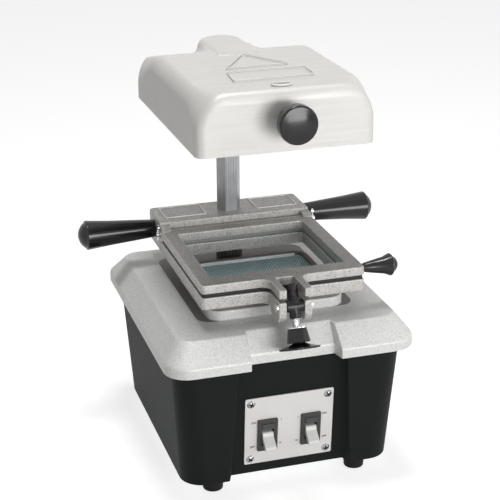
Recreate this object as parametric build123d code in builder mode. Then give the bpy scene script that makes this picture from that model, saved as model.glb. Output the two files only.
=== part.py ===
from build123d import *
import os
from math import acos, asin, atan2, cos, degrees, hypot, radians, sin

os.makedirs("parts", exist_ok=True)

# Dental vacuum former, in millimetres. +Z is up and the front faces -Y. The origin is the middle
# of the four feet, on the surface that the machine stands on.

# ---------------------------------------------------------------- sizes: base
FOOT_DIA = 18.5
FOOT_HEIGHT = 12.7
FOOT_SPAN_X = 127.0
FOOT_SPAN_Y = 178.0
FOOT_SCREW_DIA = 4.0
FOOT_SCREW_GRIP = 20.0        # how far the screws run up into the tub's bosses
FOOT_SCREW_SEAT = 5.0         # length of each screw that is moulded into its foot
BORE_SPARE = 1.0              # depth of a blind bore past the end of what is in it

TUB_BASE_WIDTH = 183.0
TUB_BASE_DEPTH = 211.0
TUB_TOP_WIDTH = 197.6
TUB_TOP_DEPTH = 228.0
TUB_TOP_Z = 124.0
TUB_CORNER = 20.0
TUB_WALL = 3.0
TUB_BOSS_DIA = 12.0
TUB_BOSS_HEIGHT = 26.0
PANEL_BASE_Y = -96.5          # face of the set-back front panel, at the bottom
PANEL_TOP_Y = -105.9
PANEL_BASE_HALF = 49.5
PANEL_TOP_HALF = 43.0
PANEL_FLARE = 0.4             # how far the pillars' inner sides open per mm of depth

BOTTOM_PLATE = 1.5
SHEET_CLEAR = 0.3             # around sheet metal and everything else that drops into place
EAR_DIA = 16.0                # ears in the tub's top corners, under the cover's bosses
EAR_THICK = 6.0
EAR_INSET = 12.0
COVER_SCREW_DIA = 4.0
COVER_SCREW_GRIP = 9.0
COVER_SCREW_HEAD_DIA = 8.0
COVER_SCREW_HEAD = 3.0

VENT_Z = 84.0
VENT_COUNT = 14
VENT_PITCH = 9.0
VENT_WIDTH = 3.6
VENT_HEIGHT = 34.0
FLOOR_VENT_COUNT = 7
FLOOR_VENT_LENGTH = 50.0
GLAND_X = 35.0
GLAND_Z = 34.0
GLAND_DIA = 12.0
GLAND_BORE = 7.0
GLAND_FLANGE_DIA = 19.0
GLAND_FLANGE = 3.5
GLAND_NUT_DIA = 17.0
GLAND_NUT = 4.0
GLAND_EDGE = 1.0

COVER_WIDTH = 213.0
COVER_DEPTH = 245.0
COVER_TOP_WIDTH = 187.0
COVER_TOP_DEPTH = 210.0
COVER_RIM_Z = 119.8
COVER_BAND = 8.2              # upright band round the rim, under the sloping sides
COVER_TOP_Z = 144.8
COVER_CORNER = 20.0
COVER_TOP_CORNER = 13.0
COVER_WALL = 4.0
NOTCH_HALF = 36.0
NOTCH_DEPTH = 12.2
NOTCH_TOP_DEPTH = 7.0
NOTCH_FLARE = 0.2

WORK_Y = -19.3                # middle of the platen and of the frames' opening
PLATFORM_WIDTH = 119.0
PLATFORM_DEPTH = 107.0
PLATFORM_HEIGHT = 8.4
PLATFORM_CORNER = 12.0
PLATEN_WIDTH = 108.0
PLATEN_DEPTH = 98.0
PLATEN_THICK = 2.6
PLATEN_PROUD = 0.8
PLATEN_CORNER = 5.0
PLATEN_HOLE_DIA = 3.2
PLATEN_PITCH = 15.0
PLATEN_COLUMNS = 7
PLATEN_ROWS = 6
WELL_MARGIN = 5.0
WELL_FLOOR_Z = 136.0
WELL_WALL = 4.0
DUCT_DIA = 36.0
SEAL_INSET = 0.6              # of the seal from both edges of the platform's rim
SEAL_THICK = 3.2

POST_Y = 73.0
POST_FLATS = 19.0
POST_SPIGOT_DIA = 14.0
POST_HEX_TOP = 289.6
POST_TOP = 328.0
POST_TAIL_PROUD = 1.0         # of the post's tail under its nut
POST_BOSS_DIA = 36.0
POST_EDGE = 0.8
POST_BOSS_DEPTH = 18.0
POST_WASHER = 2.0
POST_WASHER_DIA = 30.0
POST_NUT_FLATS = 22.0
POST_NUT_HEIGHT = 11.0
RUN_CLEAR = 0.05              # radial clearance of everything that turns or slides on a shaft
COLLAR_DIA = 24.0
COLLAR_HEIGHT = 9.6
COLLAR_RIBS = 20
COLLAR_GROOVE = 1.4

BLOWER_GASKET = 3.0
BLOWER_DIA = 104.0
BLOWER_HEIGHT = 38.0
BLOWER_ROUND = 6.0
BLOWER_GASKET_WIDTH = 12.0
MOTOR_DIA = 66.0
MOTOR_HEIGHT = 50.0

# ---------------------------------------------------------------- sizes: switches
SWITCH_PLATE_WIDTH = 77.4
SWITCH_PLATE_HEIGHT = 63.6
SWITCH_PLATE_THICK = 1.2
SWITCH_PLATE_CORNER = 1.5
SWITCH_PLATE_Z = 53.6
SWITCH_X = 19.0
SWITCH_DROP = 5.0             # how far the switches sit under the plate's middle
BEZEL_WIDTH = 17.4
BEZEL_HEIGHT = 28.4
BEZEL_THICK = 2.2
BEZEL_CORNER = 1.0
SWITCH_BODY_WIDTH = 14.6
SWITCH_BODY_HEIGHT = 25.0
SWITCH_BODY_DEPTH = 24.0
PADDLE_WIDTH = 9.6
PADDLE_LENGTH = 17.5
PADDLE_THICK = 4.4
PADDLE_BARREL_DIA = 8.6
PADDLE_REST = 34.0            # degrees that the paddles hang below the plate's normal
PADDLE_SET = 1.0              # depth of the paddles' pivots behind the plate's face
PADDLE_CLEAR = 0.3
TRUNNION_DIA = 2.0
PLATE_SCREW_INSET = 5.2
PLATE_SCREW_DIA = 3.5
PLATE_SCREW_LENGTH = 12.0
PLATE_SCREW_HEAD_DIA = 7.0
PLATE_SCREW_HEAD = 1.8
PLATE_SCREW_ROUND = 1.3

# ---------------------------------------------------------------- sizes: frames and slide
FRAME_WIDTH = 140.0
FRAME_FRONT = -89.5
OPENING_WIDTH = 115.8
OPENING_DEPTH = 106.3
OPENING_CORNER = 2.5
FRAME_CORNER = 3.5
SLIDE_DOWN_CLEAR = 0.2        # left over the platen seal when the slide is right down
LOWER_Z = 163.0
LOWER_THICK = 10.4
GASKET_THICK = 3.3            # space that the gasket fills between the frames
GASKET_INSET = 1.0
FLAT_CLEAR = 0.1              # between faces of two bodies that close on each other
UPPER_THICK = 7.6
LUG_GAP = 15.2
LUG_WIDTH = 6.3
LUG_LENGTH = 28.5
LUG_ROOT = 8.0
LUG_DROP = 8.0                # how far the lower lugs hang below the lower frame
LUG_TOE = 7.0                 # round under the lower lugs' front ends
LUG_TIP_ROUND = 1.5           # on the upper lugs' front ends, where the washer swings past them
BLOCK_INSET = 0.2             # of the slide block's sides from the frames'
BLOCK_FRONT = 52.2
BLOCK_DEPTH = 42.2
BLOCK_TOP_Z = 190.1
BLOCK_CORNER = 4.0
BLOCK_EDGE = 1.5
HANDLE_Z = 178.0
HANDLE_ROOT_DIA = 16.0
HANDLE_END_DIA = 26.5
HANDLE_LENGTH = 70.0
HANDLE_STUD_DIA = 8.0
HANDLE_STUD = 14.0
HANDLE_DOME = 7.0
BLOCK_SCREW_INSET = 24.8      # of the screws from the block's sides
BLOCK_SCREW_DIA = 4.0
BLOCK_SCREW_GRIP = 12.0       # length of the screws in the lower frame
BLOCK_SCREW_HEAD_DIA = 8.0
BLOCK_SCREW_HEAD = 4.0
CARTOUCHE_Y = 76.0
CARTOUCHE_X = 43.0            # bare raised borders cast on the block's top
CARTOUCHE_WIDTH = 39.0
CARTOUCHE_DEPTH = 29.0
CARTOUCHE_RIB = 1.2
CARTOUCHE_HEIGHT = 0.7
HINGE_Y = 48.0
HINGE_DIA = 4.0
HINGE_EAR = 8.0
HINGE_EAR_RADIUS = 7.0
HINGE_END = 4.4               # how far the hinge rod stands out at each side
CLIP_DIA = 1.6
CLIP_LENGTH = 10.0
CLIP_INSET = 1.8
CLIP_EYE_DIA = 4.4
CLIP_WIRE = 1.0

LIFT_KNOB_Y = -82.0
LIFT_KNOB_LENGTH = 31.5
LIFT_KNOB_DIA = 19.0
LIFT_KNOB_ROOT_DIA = 7.6
LIFT_KNOB_DOME = 5.5
LIFT_STUD_DIA = 3.0
LIFT_STUD = 8.0

# ---------------------------------------------------------------- sizes: swing clamp
CLAMP_Y = -113.0
CLAMP_Z = 168.0
CLAMP_PIN_DIA = 4.0
CLAMP_PIN_HEAD_DIA = 6.6
CLAMP_PIN_HEAD = 1.4
EYE_DIA = 10.0
BOLT_DIA = 9.4
BOLT_HEEL = 18.0              # how far the bolt runs past its pivot, away from the knob
BOLT_SHOULDER = 10.4          # from the pivot to where the thread begins
BOLT_THREAD_DIA = 7.0
BOLT_EDGE = 0.8
THREAD_IN_HUB = 8.0
WASHER_AT = 16.9              # from the pivot to the washer's clamping face
WASHER_DIA = 16.6
WASHER_THICK = 1.2
HUB_TOP_DIA = 15.6
HUB_END_DIA = 19.0
HUB_LENGTH = 11.4
NECK_DIA = 9.0
NECK_LENGTH = 2.0
DISC_DIA = 33.6
DISC_THICK = 3.6
KNOB_CLEAR = 0.3              # left in front of the notch as the knob hangs past it
KNOB_BITE = 0.5               # how far the knob can screw in from where it hangs

# ---------------------------------------------------------------- sizes: heater
HOOD_WIDTH = 147.0
HOOD_FRONT = -96.0
HOOD_REAR = 107.0
HOOD_BOTTOM = 292.0
HOOD_TOP = 343.0
HOOD_SHOULDER = 28.0
HOOD_FRONT_ROUND = 9.0
HOOD_REAR_ROUND = 22.0
HOOD_CORNER = 25.0            # upright rear corners
HOOD_SLOPE_Y = 38.0           # where the top begins to fall away to the rear
HOOD_SLOPE_DROP = 16.0
HOOD_WALL = 4.0
HOOD_PARTITION = 42.0
HINGE_BOSS_WIDTH = 37.0
HINGE_BOSS_REAR = 114.0
HINGE_BOSS_TOP = 342.0
HINGE_BOSS_ROUND = 4.0
BUSHING_DIA = 24.0
THRUST_THICK = 2.0
THRUST_DIA = 30.0
BUSHING_TOP_CLEAR = 2.0
REFLECTOR_SHEET = 1.0
REFLECTOR_Z = 311.0
REFLECTOR_TOP_WIDTH = 88.0
REFLECTOR_CLEAR = 2.5         # between the reflector and the hood's side walls
ELEMENT_DIA = 6.4
ELEMENT_Z = 302.0
ELEMENT_LEGS = 6
ELEMENT_PITCH = 19.0
ELEMENT_FRONT = -76.0
ELEMENT_REAR = 28.0
ELEMENT_BEND_SPARE = 0.01     # of the bends' radius under half the pitch
INSULATOR_INSET = 17.0        # of the insulators from the element's two ends
INSULATOR_WIDTH = 7.0
INSULATOR_HEIGHT = 9.0
HOOD_KNOB_Z = 319.5
HOOD_KNOB_DIA = 30.0
HOOD_KNOB_THICK = 12.5
HOOD_KNOB_ROUND = 2.5
HOOD_KNOB_NECK = 16.0
HOOD_KNOB_NECK_DIA = 13.0
SET_SCREW_DIA = 5.0
SET_SCREW_Z = 312.0

# ---------------------------------------------------------------- places that follow from the sizes
BLOCK_WIDTH = FRAME_WIDTH - 2 * BLOCK_INSET
BLOCK_SCREW_X = BLOCK_WIDTH / 2 - BLOCK_SCREW_INSET
REFLECTOR_WIDTH = HOOD_WIDTH - 2 * (HOOD_WALL + REFLECTOR_CLEAR)
ELEMENT_BEND = ELEMENT_PITCH / 2 - ELEMENT_BEND_SPARE
UPPER_Z = LOWER_Z + LOWER_THICK + GASKET_THICK
UPPER_TOP = UPPER_Z + UPPER_THICK
HINGE_Z = UPPER_Z + UPPER_THICK / 2
OPENING_REAR = WORK_Y + OPENING_DEPTH / 2
LUG_FRONT = FRAME_FRONT - LUG_LENGTH
BAND_TOP = COVER_RIM_Z + COVER_BAND
NOTCH_Y = -COVER_DEPTH / 2 + NOTCH_DEPTH
NOTCH_TOP_Y = -COVER_TOP_DEPTH / 2 + NOTCH_TOP_DEPTH
PLATFORM_TOP = COVER_TOP_Z + PLATFORM_HEIGHT
PLATEN_TOP = PLATFORM_TOP + PLATEN_PROUD
WELL_WIDTH = PLATEN_WIDTH - 2 * WELL_MARGIN
WELL_DEPTH = PLATEN_DEPTH - 2 * WELL_MARGIN
PANEL_LEAN = degrees(atan2(PANEL_BASE_Y - PANEL_TOP_Y, TUB_TOP_Z - FOOT_HEIGHT))


PLATE_TOP = FOOT_HEIGHT + BOTTOM_PLATE
EAR_Z = TUB_TOP_Z - EAR_THICK
EAR_PLACES = GridLocations(TUB_TOP_WIDTH - 2 * EAR_INSET, TUB_TOP_DEPTH - 2 * EAR_INSET, 2, 2).locations
FOOT_PLACES = GridLocations(FOOT_SPAN_X, FOOT_SPAN_Y, 2, 2).locations
SWITCH_PLACES = [(-SWITCH_X, -SWITCH_DROP), (SWITCH_X, -SWITCH_DROP)]
PLATE_SCREW_PLACES = GridLocations(SWITCH_PLATE_WIDTH - 2 * PLATE_SCREW_INSET,
                                   SWITCH_PLATE_HEIGHT - 2 * PLATE_SCREW_INSET, 2, 2).locations
SLIDE_DROP = LOWER_Z - PLATFORM_TOP - SEAL_THICK - SLIDE_DOWN_CLEAR
HEX_BORE = POST_FLATS / 2 + RUN_CLEAR


def wall_plane(x, z, base_y, top_y, outward):
    """Plane lying on one of the tub's leaning walls, at x and z, with +y up the wall."""
    rise = (z - FOOT_HEIGHT) / (TUB_TOP_Z - FOOT_HEIGHT)
    lean = atan2(abs(top_y - base_y), TUB_TOP_Z - FOOT_HEIGHT)
    return Plane(
        origin=(x, base_y + (top_y - base_y) * rise, z),
        x_dir=(-outward, 0, 0),
        z_dir=(0, outward * cos(lean), -sin(lean)),
    )


panel_plane = wall_plane(0, SWITCH_PLATE_Z, PANEL_BASE_Y, PANEL_TOP_Y, -1)
face_plane = panel_plane.offset(SWITCH_PLATE_THICK)
gland_plane = wall_plane(GLAND_X, GLAND_Z, TUB_BASE_DEPTH / 2, TUB_TOP_DEPTH / 2, 1)


# ---------------------------------------------------------------- tub
def tub_outline(width, depth, corner, panel_y, panel_half, inset):
    """Plan of the tub at one height: a rounded rectangle with the set-back front panel."""
    RectangleRounded(width - 2 * inset, depth - 2 * inset, corner - inset)
    panel, front = panel_y + inset, -depth
    half = panel_half + inset
    reach = half + PANEL_FLARE * (panel - front)
    with BuildLine() as recess:
        Polyline((-half, panel), (half, panel), (reach, front), (-reach, front), close=True)
    make_face(recess.edges(), mode=Mode.SUBTRACT)


def tub_form(inset):
    """Loft the tub's drafted form, drawn in from its outer faces by inset."""
    with BuildSketch(Plane.XY.offset(FOOT_HEIGHT)) as foot_end:
        tub_outline(TUB_BASE_WIDTH, TUB_BASE_DEPTH, TUB_CORNER, PANEL_BASE_Y, PANEL_BASE_HALF, inset)
    with BuildSketch(Plane.XY.offset(TUB_TOP_Z)) as mouth_end:
        tub_outline(TUB_TOP_WIDTH, TUB_TOP_DEPTH, TUB_CORNER, PANEL_TOP_Y, PANEL_TOP_HALF, inset)
    loft([foot_end.sketch, mouth_end.sketch], ruled=True)


def switch_cuts():
    """Cut the openings of both switches and the holes of the plate's four screws."""
    with BuildSketch(panel_plane) as holes:
        with Locations(SWITCH_PLACES):
            Rectangle(SWITCH_BODY_WIDTH + 2 * SHEET_CLEAR, SWITCH_BODY_HEIGHT + 2 * SHEET_CLEAR)
        with Locations(PLATE_SCREW_PLACES):
            Circle(PLATE_SCREW_DIA / 2 + RUN_CLEAR)
    extrude(holes.sketch, amount=2 * TUB_WALL, both=True, mode=Mode.SUBTRACT)


with BuildPart() as tub_hollow:
    tub_form(TUB_WALL)

with BuildPart() as tub:
    tub_form(0)
    add(tub_hollow.part, mode=Mode.SUBTRACT)
    # Bosses over the feet, each with a web to the wall beside it
    boss_to_wall = (TUB_BASE_DEPTH - FOOT_SPAN_Y) / 2
    with BuildSketch(Plane.XY.offset(PLATE_TOP)):
        with Locations(FOOT_PLACES):
            Circle(TUB_BOSS_DIA / 2)
        with GridLocations(FOOT_SPAN_X, FOOT_SPAN_Y + boss_to_wall, 2, 2):
            Rectangle(TUB_WALL, boss_to_wall)
    extrude(amount=TUB_BOSS_HEIGHT)
    with BuildSketch(Plane.XY.offset(PLATE_TOP)):
        with Locations(FOOT_PLACES):
            Circle(FOOT_SCREW_DIA / 2 + RUN_CLEAR)
    extrude(amount=FOOT_SCREW_GRIP + BORE_SPARE, mode=Mode.SUBTRACT)
    # Ears in the top corners carry the cover and take its screws
    with BuildSketch(Plane.XY.offset(EAR_Z)):
        with Locations(EAR_PLACES):
            Circle(EAR_DIA / 2)
    extrude(amount=EAR_THICK)
    with BuildSketch(Plane.XY.offset(EAR_Z)):
        with Locations(EAR_PLACES):
            Circle(COVER_SCREW_DIA / 2 + RUN_CLEAR)
    extrude(amount=EAR_THICK, mode=Mode.SUBTRACT)
    switch_cuts()
    # Air slots and the cable gland's hole, through the rear wall
    with BuildSketch(wall_plane(0, VENT_Z, TUB_BASE_DEPTH / 2, TUB_TOP_DEPTH / 2, 1)):
        with GridLocations(VENT_PITCH, 0, VENT_COUNT, 1):
            SlotOverall(VENT_HEIGHT, VENT_WIDTH, rotation=90)
    extrude(amount=2 * TUB_WALL, both=True, mode=Mode.SUBTRACT)
    with BuildSketch(gland_plane):
        Circle(GLAND_DIA / 2 + RUN_CLEAR)
    extrude(amount=2 * TUB_WALL, both=True, mode=Mode.SUBTRACT)
tub.part.label = "tub"
export_step(tub.part, "parts/tub.step")

with BuildPart() as cord_gland:
    with BuildSketch(gland_plane):
        Circle(GLAND_FLANGE_DIA / 2)
    extrude(amount=GLAND_FLANGE)
    chamfer(cord_gland.edges().sort_by(Axis(gland_plane.origin, gland_plane.z_dir))[-1], GLAND_EDGE)
    with BuildSketch(gland_plane):
        Circle(GLAND_DIA / 2)
    extrude(amount=-TUB_WALL - GLAND_NUT)
    with BuildSketch(gland_plane.offset(-TUB_WALL - SHEET_CLEAR)):
        RegularPolygon(GLAND_NUT_DIA / 2, 6)
    extrude(amount=-GLAND_NUT)
    with BuildSketch(gland_plane.offset(GLAND_FLANGE)):
        Circle(GLAND_BORE / 2)
    extrude(amount=-GLAND_FLANGE - TUB_WALL - 2 * GLAND_NUT, mode=Mode.SUBTRACT)
cord_gland.part.label = "cord_gland"
export_step(cord_gland.part, "parts/cord_gland.step")

with BuildPart() as bottom_plate:
    with BuildSketch(Plane.XY.offset(FOOT_HEIGHT)):
        tub_outline(TUB_BASE_WIDTH, TUB_BASE_DEPTH, TUB_CORNER, PANEL_BASE_Y, PANEL_BASE_HALF,
                    TUB_WALL + SHEET_CLEAR)
        with Locations(FOOT_PLACES):
            Circle(FOOT_SCREW_DIA / 2 + RUN_CLEAR, mode=Mode.SUBTRACT)
        with Locations((0, WORK_Y)):
            with GridLocations(0, VENT_PITCH, 1, FLOOR_VENT_COUNT):
                SlotOverall(FLOOR_VENT_LENGTH, VENT_WIDTH, mode=Mode.SUBTRACT)
    extrude(amount=BOTTOM_PLATE)
bottom_plate.part.label = "bottom_plate"
export_step(bottom_plate.part, "parts/bottom_plate.step")

for number, place in enumerate(FOOT_PLACES, start=1):
    with BuildPart() as foot:
        with BuildSketch():
            with Locations(place):
                Circle(FOOT_DIA / 2)
        extrude(amount=FOOT_HEIGHT)
        with BuildSketch(Plane.XY.offset(FOOT_HEIGHT)):
            with Locations(place):
                Circle(FOOT_SCREW_DIA / 2)
        extrude(amount=-FOOT_SCREW_SEAT, mode=Mode.SUBTRACT)
    foot.part.label = f"foot_{number}"
    export_step(foot.part, f"parts/foot_{number}.step")

    with BuildPart() as foot_screw:
        with BuildSketch(Plane.XY.offset(FOOT_HEIGHT - FOOT_SCREW_SEAT)):
            with Locations(place):
                Circle(FOOT_SCREW_DIA / 2)
        extrude(amount=FOOT_SCREW_SEAT + BOTTOM_PLATE + FOOT_SCREW_GRIP)
    foot_screw.part.label = f"foot_screw_{number}"
    export_step(foot_screw.part, f"parts/foot_screw_{number}.step")


# ---------------------------------------------------------------- cover
def notch_outline(rear, half):
    """Plan of the cover's front notch at one height, from its rear face out past the rim."""
    front = -COVER_DEPTH
    reach = half + NOTCH_FLARE * (rear - front)
    with BuildLine() as recess:
        Polyline((-half, rear), (half, rear), (reach, front), (-reach, front), close=True)
    make_face(recess.edges())


def cover_form(inset):
    """The cover's form drawn in by inset: upright band, sloping sides and notched front."""
    crown = COVER_TOP_Z - inset
    half = NOTCH_HALF + inset
    with BuildSketch(Plane.XY.offset(COVER_RIM_Z)) as rim:
        RectangleRounded(COVER_WIDTH - 2 * inset, COVER_DEPTH - 2 * inset, COVER_CORNER - inset)
    with BuildSketch(Plane.XY.offset(crown)) as top:
        RectangleRounded(COVER_TOP_WIDTH - inset, COVER_TOP_DEPTH - inset, COVER_TOP_CORNER - inset / 2)
    with BuildSketch(Plane.XY.offset(COVER_RIM_Z)) as rim_notch:
        notch_outline(NOTCH_Y + inset, half)
    with BuildSketch(Plane.XY.offset(crown)) as top_notch:
        notch_outline(NOTCH_TOP_Y + inset / 2, half)
    band = Location((0, 0, COVER_BAND))
    extrude(rim.sketch, amount=COVER_BAND)
    loft([rim.sketch.moved(band), top.sketch], ruled=True)
    extrude(rim_notch.sketch, amount=COVER_BAND, mode=Mode.SUBTRACT)
    loft([rim_notch.sketch.moved(band), top_notch.sketch], ruled=True, mode=Mode.SUBTRACT)


CEILING_Z = COVER_TOP_Z - COVER_WALL
WELL_BOTTOM = WELL_FLOOR_Z - WELL_WALL

with BuildSketch() as tub_mouth:
    tub_outline(TUB_TOP_WIDTH, TUB_TOP_DEPTH, TUB_CORNER, PANEL_TOP_Y, PANEL_TOP_HALF, TUB_WALL)

with BuildPart() as cover_hollow:
    cover_form(COVER_WALL)
    # The hollow leaves a rib that stands on the tub's rim, and the bosses of the corner screws
    with BuildSketch(Plane.XY.offset(TUB_TOP_Z)):
        tub_outline(TUB_TOP_WIDTH, TUB_TOP_DEPTH, TUB_CORNER, PANEL_TOP_Y, PANEL_TOP_HALF, 0)
        add(tub_mouth.sketch, mode=Mode.SUBTRACT)
        with Locations(EAR_PLACES):
            Circle(EAR_DIA / 2)
    extrude(amount=COVER_TOP_Z - TUB_TOP_Z, mode=Mode.SUBTRACT)
    # It also leaves the boss under the post and the walls and floor of the vacuum well
    with BuildSketch(Plane.XY.offset(CEILING_Z - POST_BOSS_DEPTH)):
        with Locations((0, POST_Y)):
            Circle(POST_BOSS_DIA / 2)
    extrude(amount=POST_BOSS_DEPTH, mode=Mode.SUBTRACT)
    with BuildSketch(Plane.XY.offset(WELL_BOTTOM)):
        with Locations((0, WORK_Y)):
            RectangleRounded(WELL_WIDTH + 2 * WELL_WALL, WELL_DEPTH + 2 * WELL_WALL, PLATEN_CORNER)
    extrude(amount=CEILING_Z - WELL_BOTTOM, mode=Mode.SUBTRACT)

with BuildPart() as cover:
    cover_form(0)
    add(cover_hollow.part, mode=Mode.SUBTRACT)
    with BuildSketch(Plane.XY.offset(COVER_TOP_Z)):
        with Locations((0, WORK_Y)):
            RectangleRounded(PLATFORM_WIDTH, PLATFORM_DEPTH, PLATFORM_CORNER)
    extrude(amount=PLATFORM_HEIGHT)
    # Seat for the platen, the well under it and the well's air duct
    with BuildSketch(Plane.XY.offset(PLATEN_TOP - PLATEN_THICK)):
        with Locations((0, WORK_Y)):
            RectangleRounded(PLATEN_WIDTH + 2 * SHEET_CLEAR, PLATEN_DEPTH + 2 * SHEET_CLEAR,
                             PLATEN_CORNER + SHEET_CLEAR)
    extrude(amount=PLATEN_THICK, mode=Mode.SUBTRACT)
    with BuildSketch(Plane.XY.offset(WELL_FLOOR_Z)):
        with Locations((0, WORK_Y)):
            RectangleRounded(WELL_WIDTH, WELL_DEPTH, PLATEN_CORNER)
    extrude(amount=PLATFORM_TOP - WELL_FLOOR_Z, mode=Mode.SUBTRACT)
    with BuildSketch(Plane.XY.offset(WELL_BOTTOM)):
        with Locations((0, WORK_Y)):
            Circle(DUCT_DIA / 2)
    extrude(amount=WELL_WALL, mode=Mode.SUBTRACT)
    with BuildSketch(Plane.XY.offset(COVER_TOP_Z)):
        with Locations((0, POST_Y)):
            Circle(POST_SPIGOT_DIA / 2 + RUN_CLEAR)
    extrude(amount=-COVER_WALL - POST_BOSS_DEPTH, mode=Mode.SUBTRACT)
    with BuildSketch(Plane.XY.offset(TUB_TOP_Z)):
        with Locations(EAR_PLACES):
            Circle(COVER_SCREW_DIA / 2 + RUN_CLEAR)
    extrude(amount=COVER_SCREW_GRIP + BORE_SPARE, mode=Mode.SUBTRACT)
cover.part.label = "cover"
export_step(cover.part, "parts/cover.step")

for number, place in enumerate(EAR_PLACES, start=1):
    with BuildPart() as cover_screw:
        with BuildSketch(Plane.XY.offset(EAR_Z)):
            with Locations(place):
                Circle(COVER_SCREW_HEAD_DIA / 2)
        extrude(amount=-COVER_SCREW_HEAD)
        with BuildSketch(Plane.XY.offset(EAR_Z)):
            with Locations(place):
                Circle(COVER_SCREW_DIA / 2)
        extrude(amount=EAR_THICK + COVER_SCREW_GRIP)
    cover_screw.part.label = f"cover_screw_{number}"
    export_step(cover_screw.part, f"parts/cover_screw_{number}.step")

with BuildPart() as platen:
    with BuildSketch(Plane.XY.offset(PLATEN_TOP - PLATEN_THICK)):
        with Locations((0, WORK_Y)):
            RectangleRounded(PLATEN_WIDTH, PLATEN_DEPTH, PLATEN_CORNER)
            with GridLocations(PLATEN_PITCH, PLATEN_PITCH, PLATEN_COLUMNS, PLATEN_ROWS):
                Circle(PLATEN_HOLE_DIA / 2, mode=Mode.SUBTRACT)
    extrude(amount=PLATEN_THICK)
platen.part.label = "platen"
export_step(platen.part, "parts/platen.step")

with BuildPart() as platen_seal:
    with BuildSketch(Plane.XY.offset(PLATFORM_TOP)):
        with Locations((0, WORK_Y)):
            RectangleRounded(PLATFORM_WIDTH - 2 * SEAL_INSET, PLATFORM_DEPTH - 2 * SEAL_INSET,
                             PLATFORM_CORNER - SEAL_INSET)
            RectangleRounded(PLATEN_WIDTH + 2 * SEAL_INSET, PLATEN_DEPTH + 2 * SEAL_INSET,
                             PLATEN_CORNER + SEAL_INSET, mode=Mode.SUBTRACT)
    extrude(amount=SEAL_THICK)
platen_seal.part.label = "platen_seal"
export_step(platen_seal.part, "parts/platen_seal.step")

# ---------------------------------------------------------------- blower under the well
BLOWER_TOP = WELL_BOTTOM - BLOWER_GASKET
BLOWER_BOTTOM = BLOWER_TOP - BLOWER_HEIGHT

with BuildPart() as blower_gasket:
    with BuildSketch(Plane.XY.offset(BLOWER_TOP)):
        with Locations((0, WORK_Y)):
            Circle(DUCT_DIA / 2 + BLOWER_GASKET_WIDTH)
            Circle(DUCT_DIA / 2, mode=Mode.SUBTRACT)
    extrude(amount=BLOWER_GASKET)
blower_gasket.part.label = "blower_gasket"
export_step(blower_gasket.part, "parts/blower_gasket.step")

with BuildPart() as blower_housing:
    with BuildSketch(Plane.XY.offset(BLOWER_BOTTOM)):
        with Locations((0, WORK_Y)):
            Circle(BLOWER_DIA / 2)
    extrude(amount=BLOWER_HEIGHT)
    fillet(blower_housing.edges().group_by(Axis.Z)[-1], BLOWER_ROUND)
    with BuildSketch(Plane.XY.offset(BLOWER_TOP)):
        with Locations((0, WORK_Y)):
            Circle(DUCT_DIA / 2)
    extrude(amount=-BLOWER_HEIGHT / 2, mode=Mode.SUBTRACT)
blower_housing.part.label = "blower_housing"
export_step(blower_housing.part, "parts/blower_housing.step")

with BuildPart() as blower_motor:
    with BuildSketch(Plane.XY.offset(BLOWER_BOTTOM)):
        with Locations((0, WORK_Y)):
            Circle(MOTOR_DIA / 2)
    extrude(amount=-MOTOR_HEIGHT)
    fillet(blower_motor.edges().group_by(Axis.Z)[0], BLOWER_ROUND)
blower_motor.part.label = "blower_motor"
export_step(blower_motor.part, "parts/blower_motor.step")

# ---------------------------------------------------------------- post
BOSS_BOTTOM = CEILING_Z - POST_BOSS_DEPTH

with BuildPart() as post:
    with BuildSketch(Plane.XY.offset(COVER_TOP_Z)):
        with Locations((0, POST_Y)):
            RegularPolygon(POST_FLATS / 2, 6, major_radius=False)
    extrude(amount=POST_HEX_TOP - COVER_TOP_Z)
    chamfer(post.edges().group_by(Axis.Z)[-1], POST_EDGE)
    with BuildSketch(Plane.XY.offset(BOSS_BOTTOM - POST_WASHER - POST_NUT_HEIGHT - POST_TAIL_PROUD)):
        with Locations((0, POST_Y)):
            Circle(POST_SPIGOT_DIA / 2)
    extrude(amount=POST_TOP - BOSS_BOTTOM + POST_WASHER + POST_NUT_HEIGHT + POST_TAIL_PROUD)
post.part.label = "post"
export_step(post.part, "parts/post.step")

with BuildPart() as post_washer:
    with BuildSketch(Plane.XY.offset(BOSS_BOTTOM)):
        with Locations((0, POST_Y)):
            Circle(POST_WASHER_DIA / 2)
            Circle(POST_SPIGOT_DIA / 2 + RUN_CLEAR, mode=Mode.SUBTRACT)
    extrude(amount=-POST_WASHER)
post_washer.part.label = "post_washer"
export_step(post_washer.part, "parts/post_washer.step")

with BuildPart() as post_nut:
    with BuildSketch(Plane.XY.offset(BOSS_BOTTOM - POST_WASHER)):
        with Locations((0, POST_Y)):
            RegularPolygon(POST_NUT_FLATS / 2, 6, major_radius=False)
            Circle(POST_SPIGOT_DIA / 2 + RUN_CLEAR, mode=Mode.SUBTRACT)
    extrude(amount=-POST_NUT_HEIGHT)
post_nut.part.label = "post_nut"
export_step(post_nut.part, "parts/post_nut.step")

with BuildPart() as stop_collar:
    with BuildSketch(Plane.XY.offset(COVER_TOP_Z)):
        with Locations((0, POST_Y)):
            Circle(COLLAR_DIA / 2)
            with PolarLocations(COLLAR_DIA / 2, COLLAR_RIBS):
                Rectangle(COLLAR_GROOVE, COLLAR_GROOVE, mode=Mode.SUBTRACT)
            RegularPolygon(HEX_BORE, 6, major_radius=False, mode=Mode.SUBTRACT)
    extrude(amount=COLLAR_HEIGHT)
stop_collar.part.label = "stop_collar"
export_step(stop_collar.part, "parts/stop_collar.step")

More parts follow.
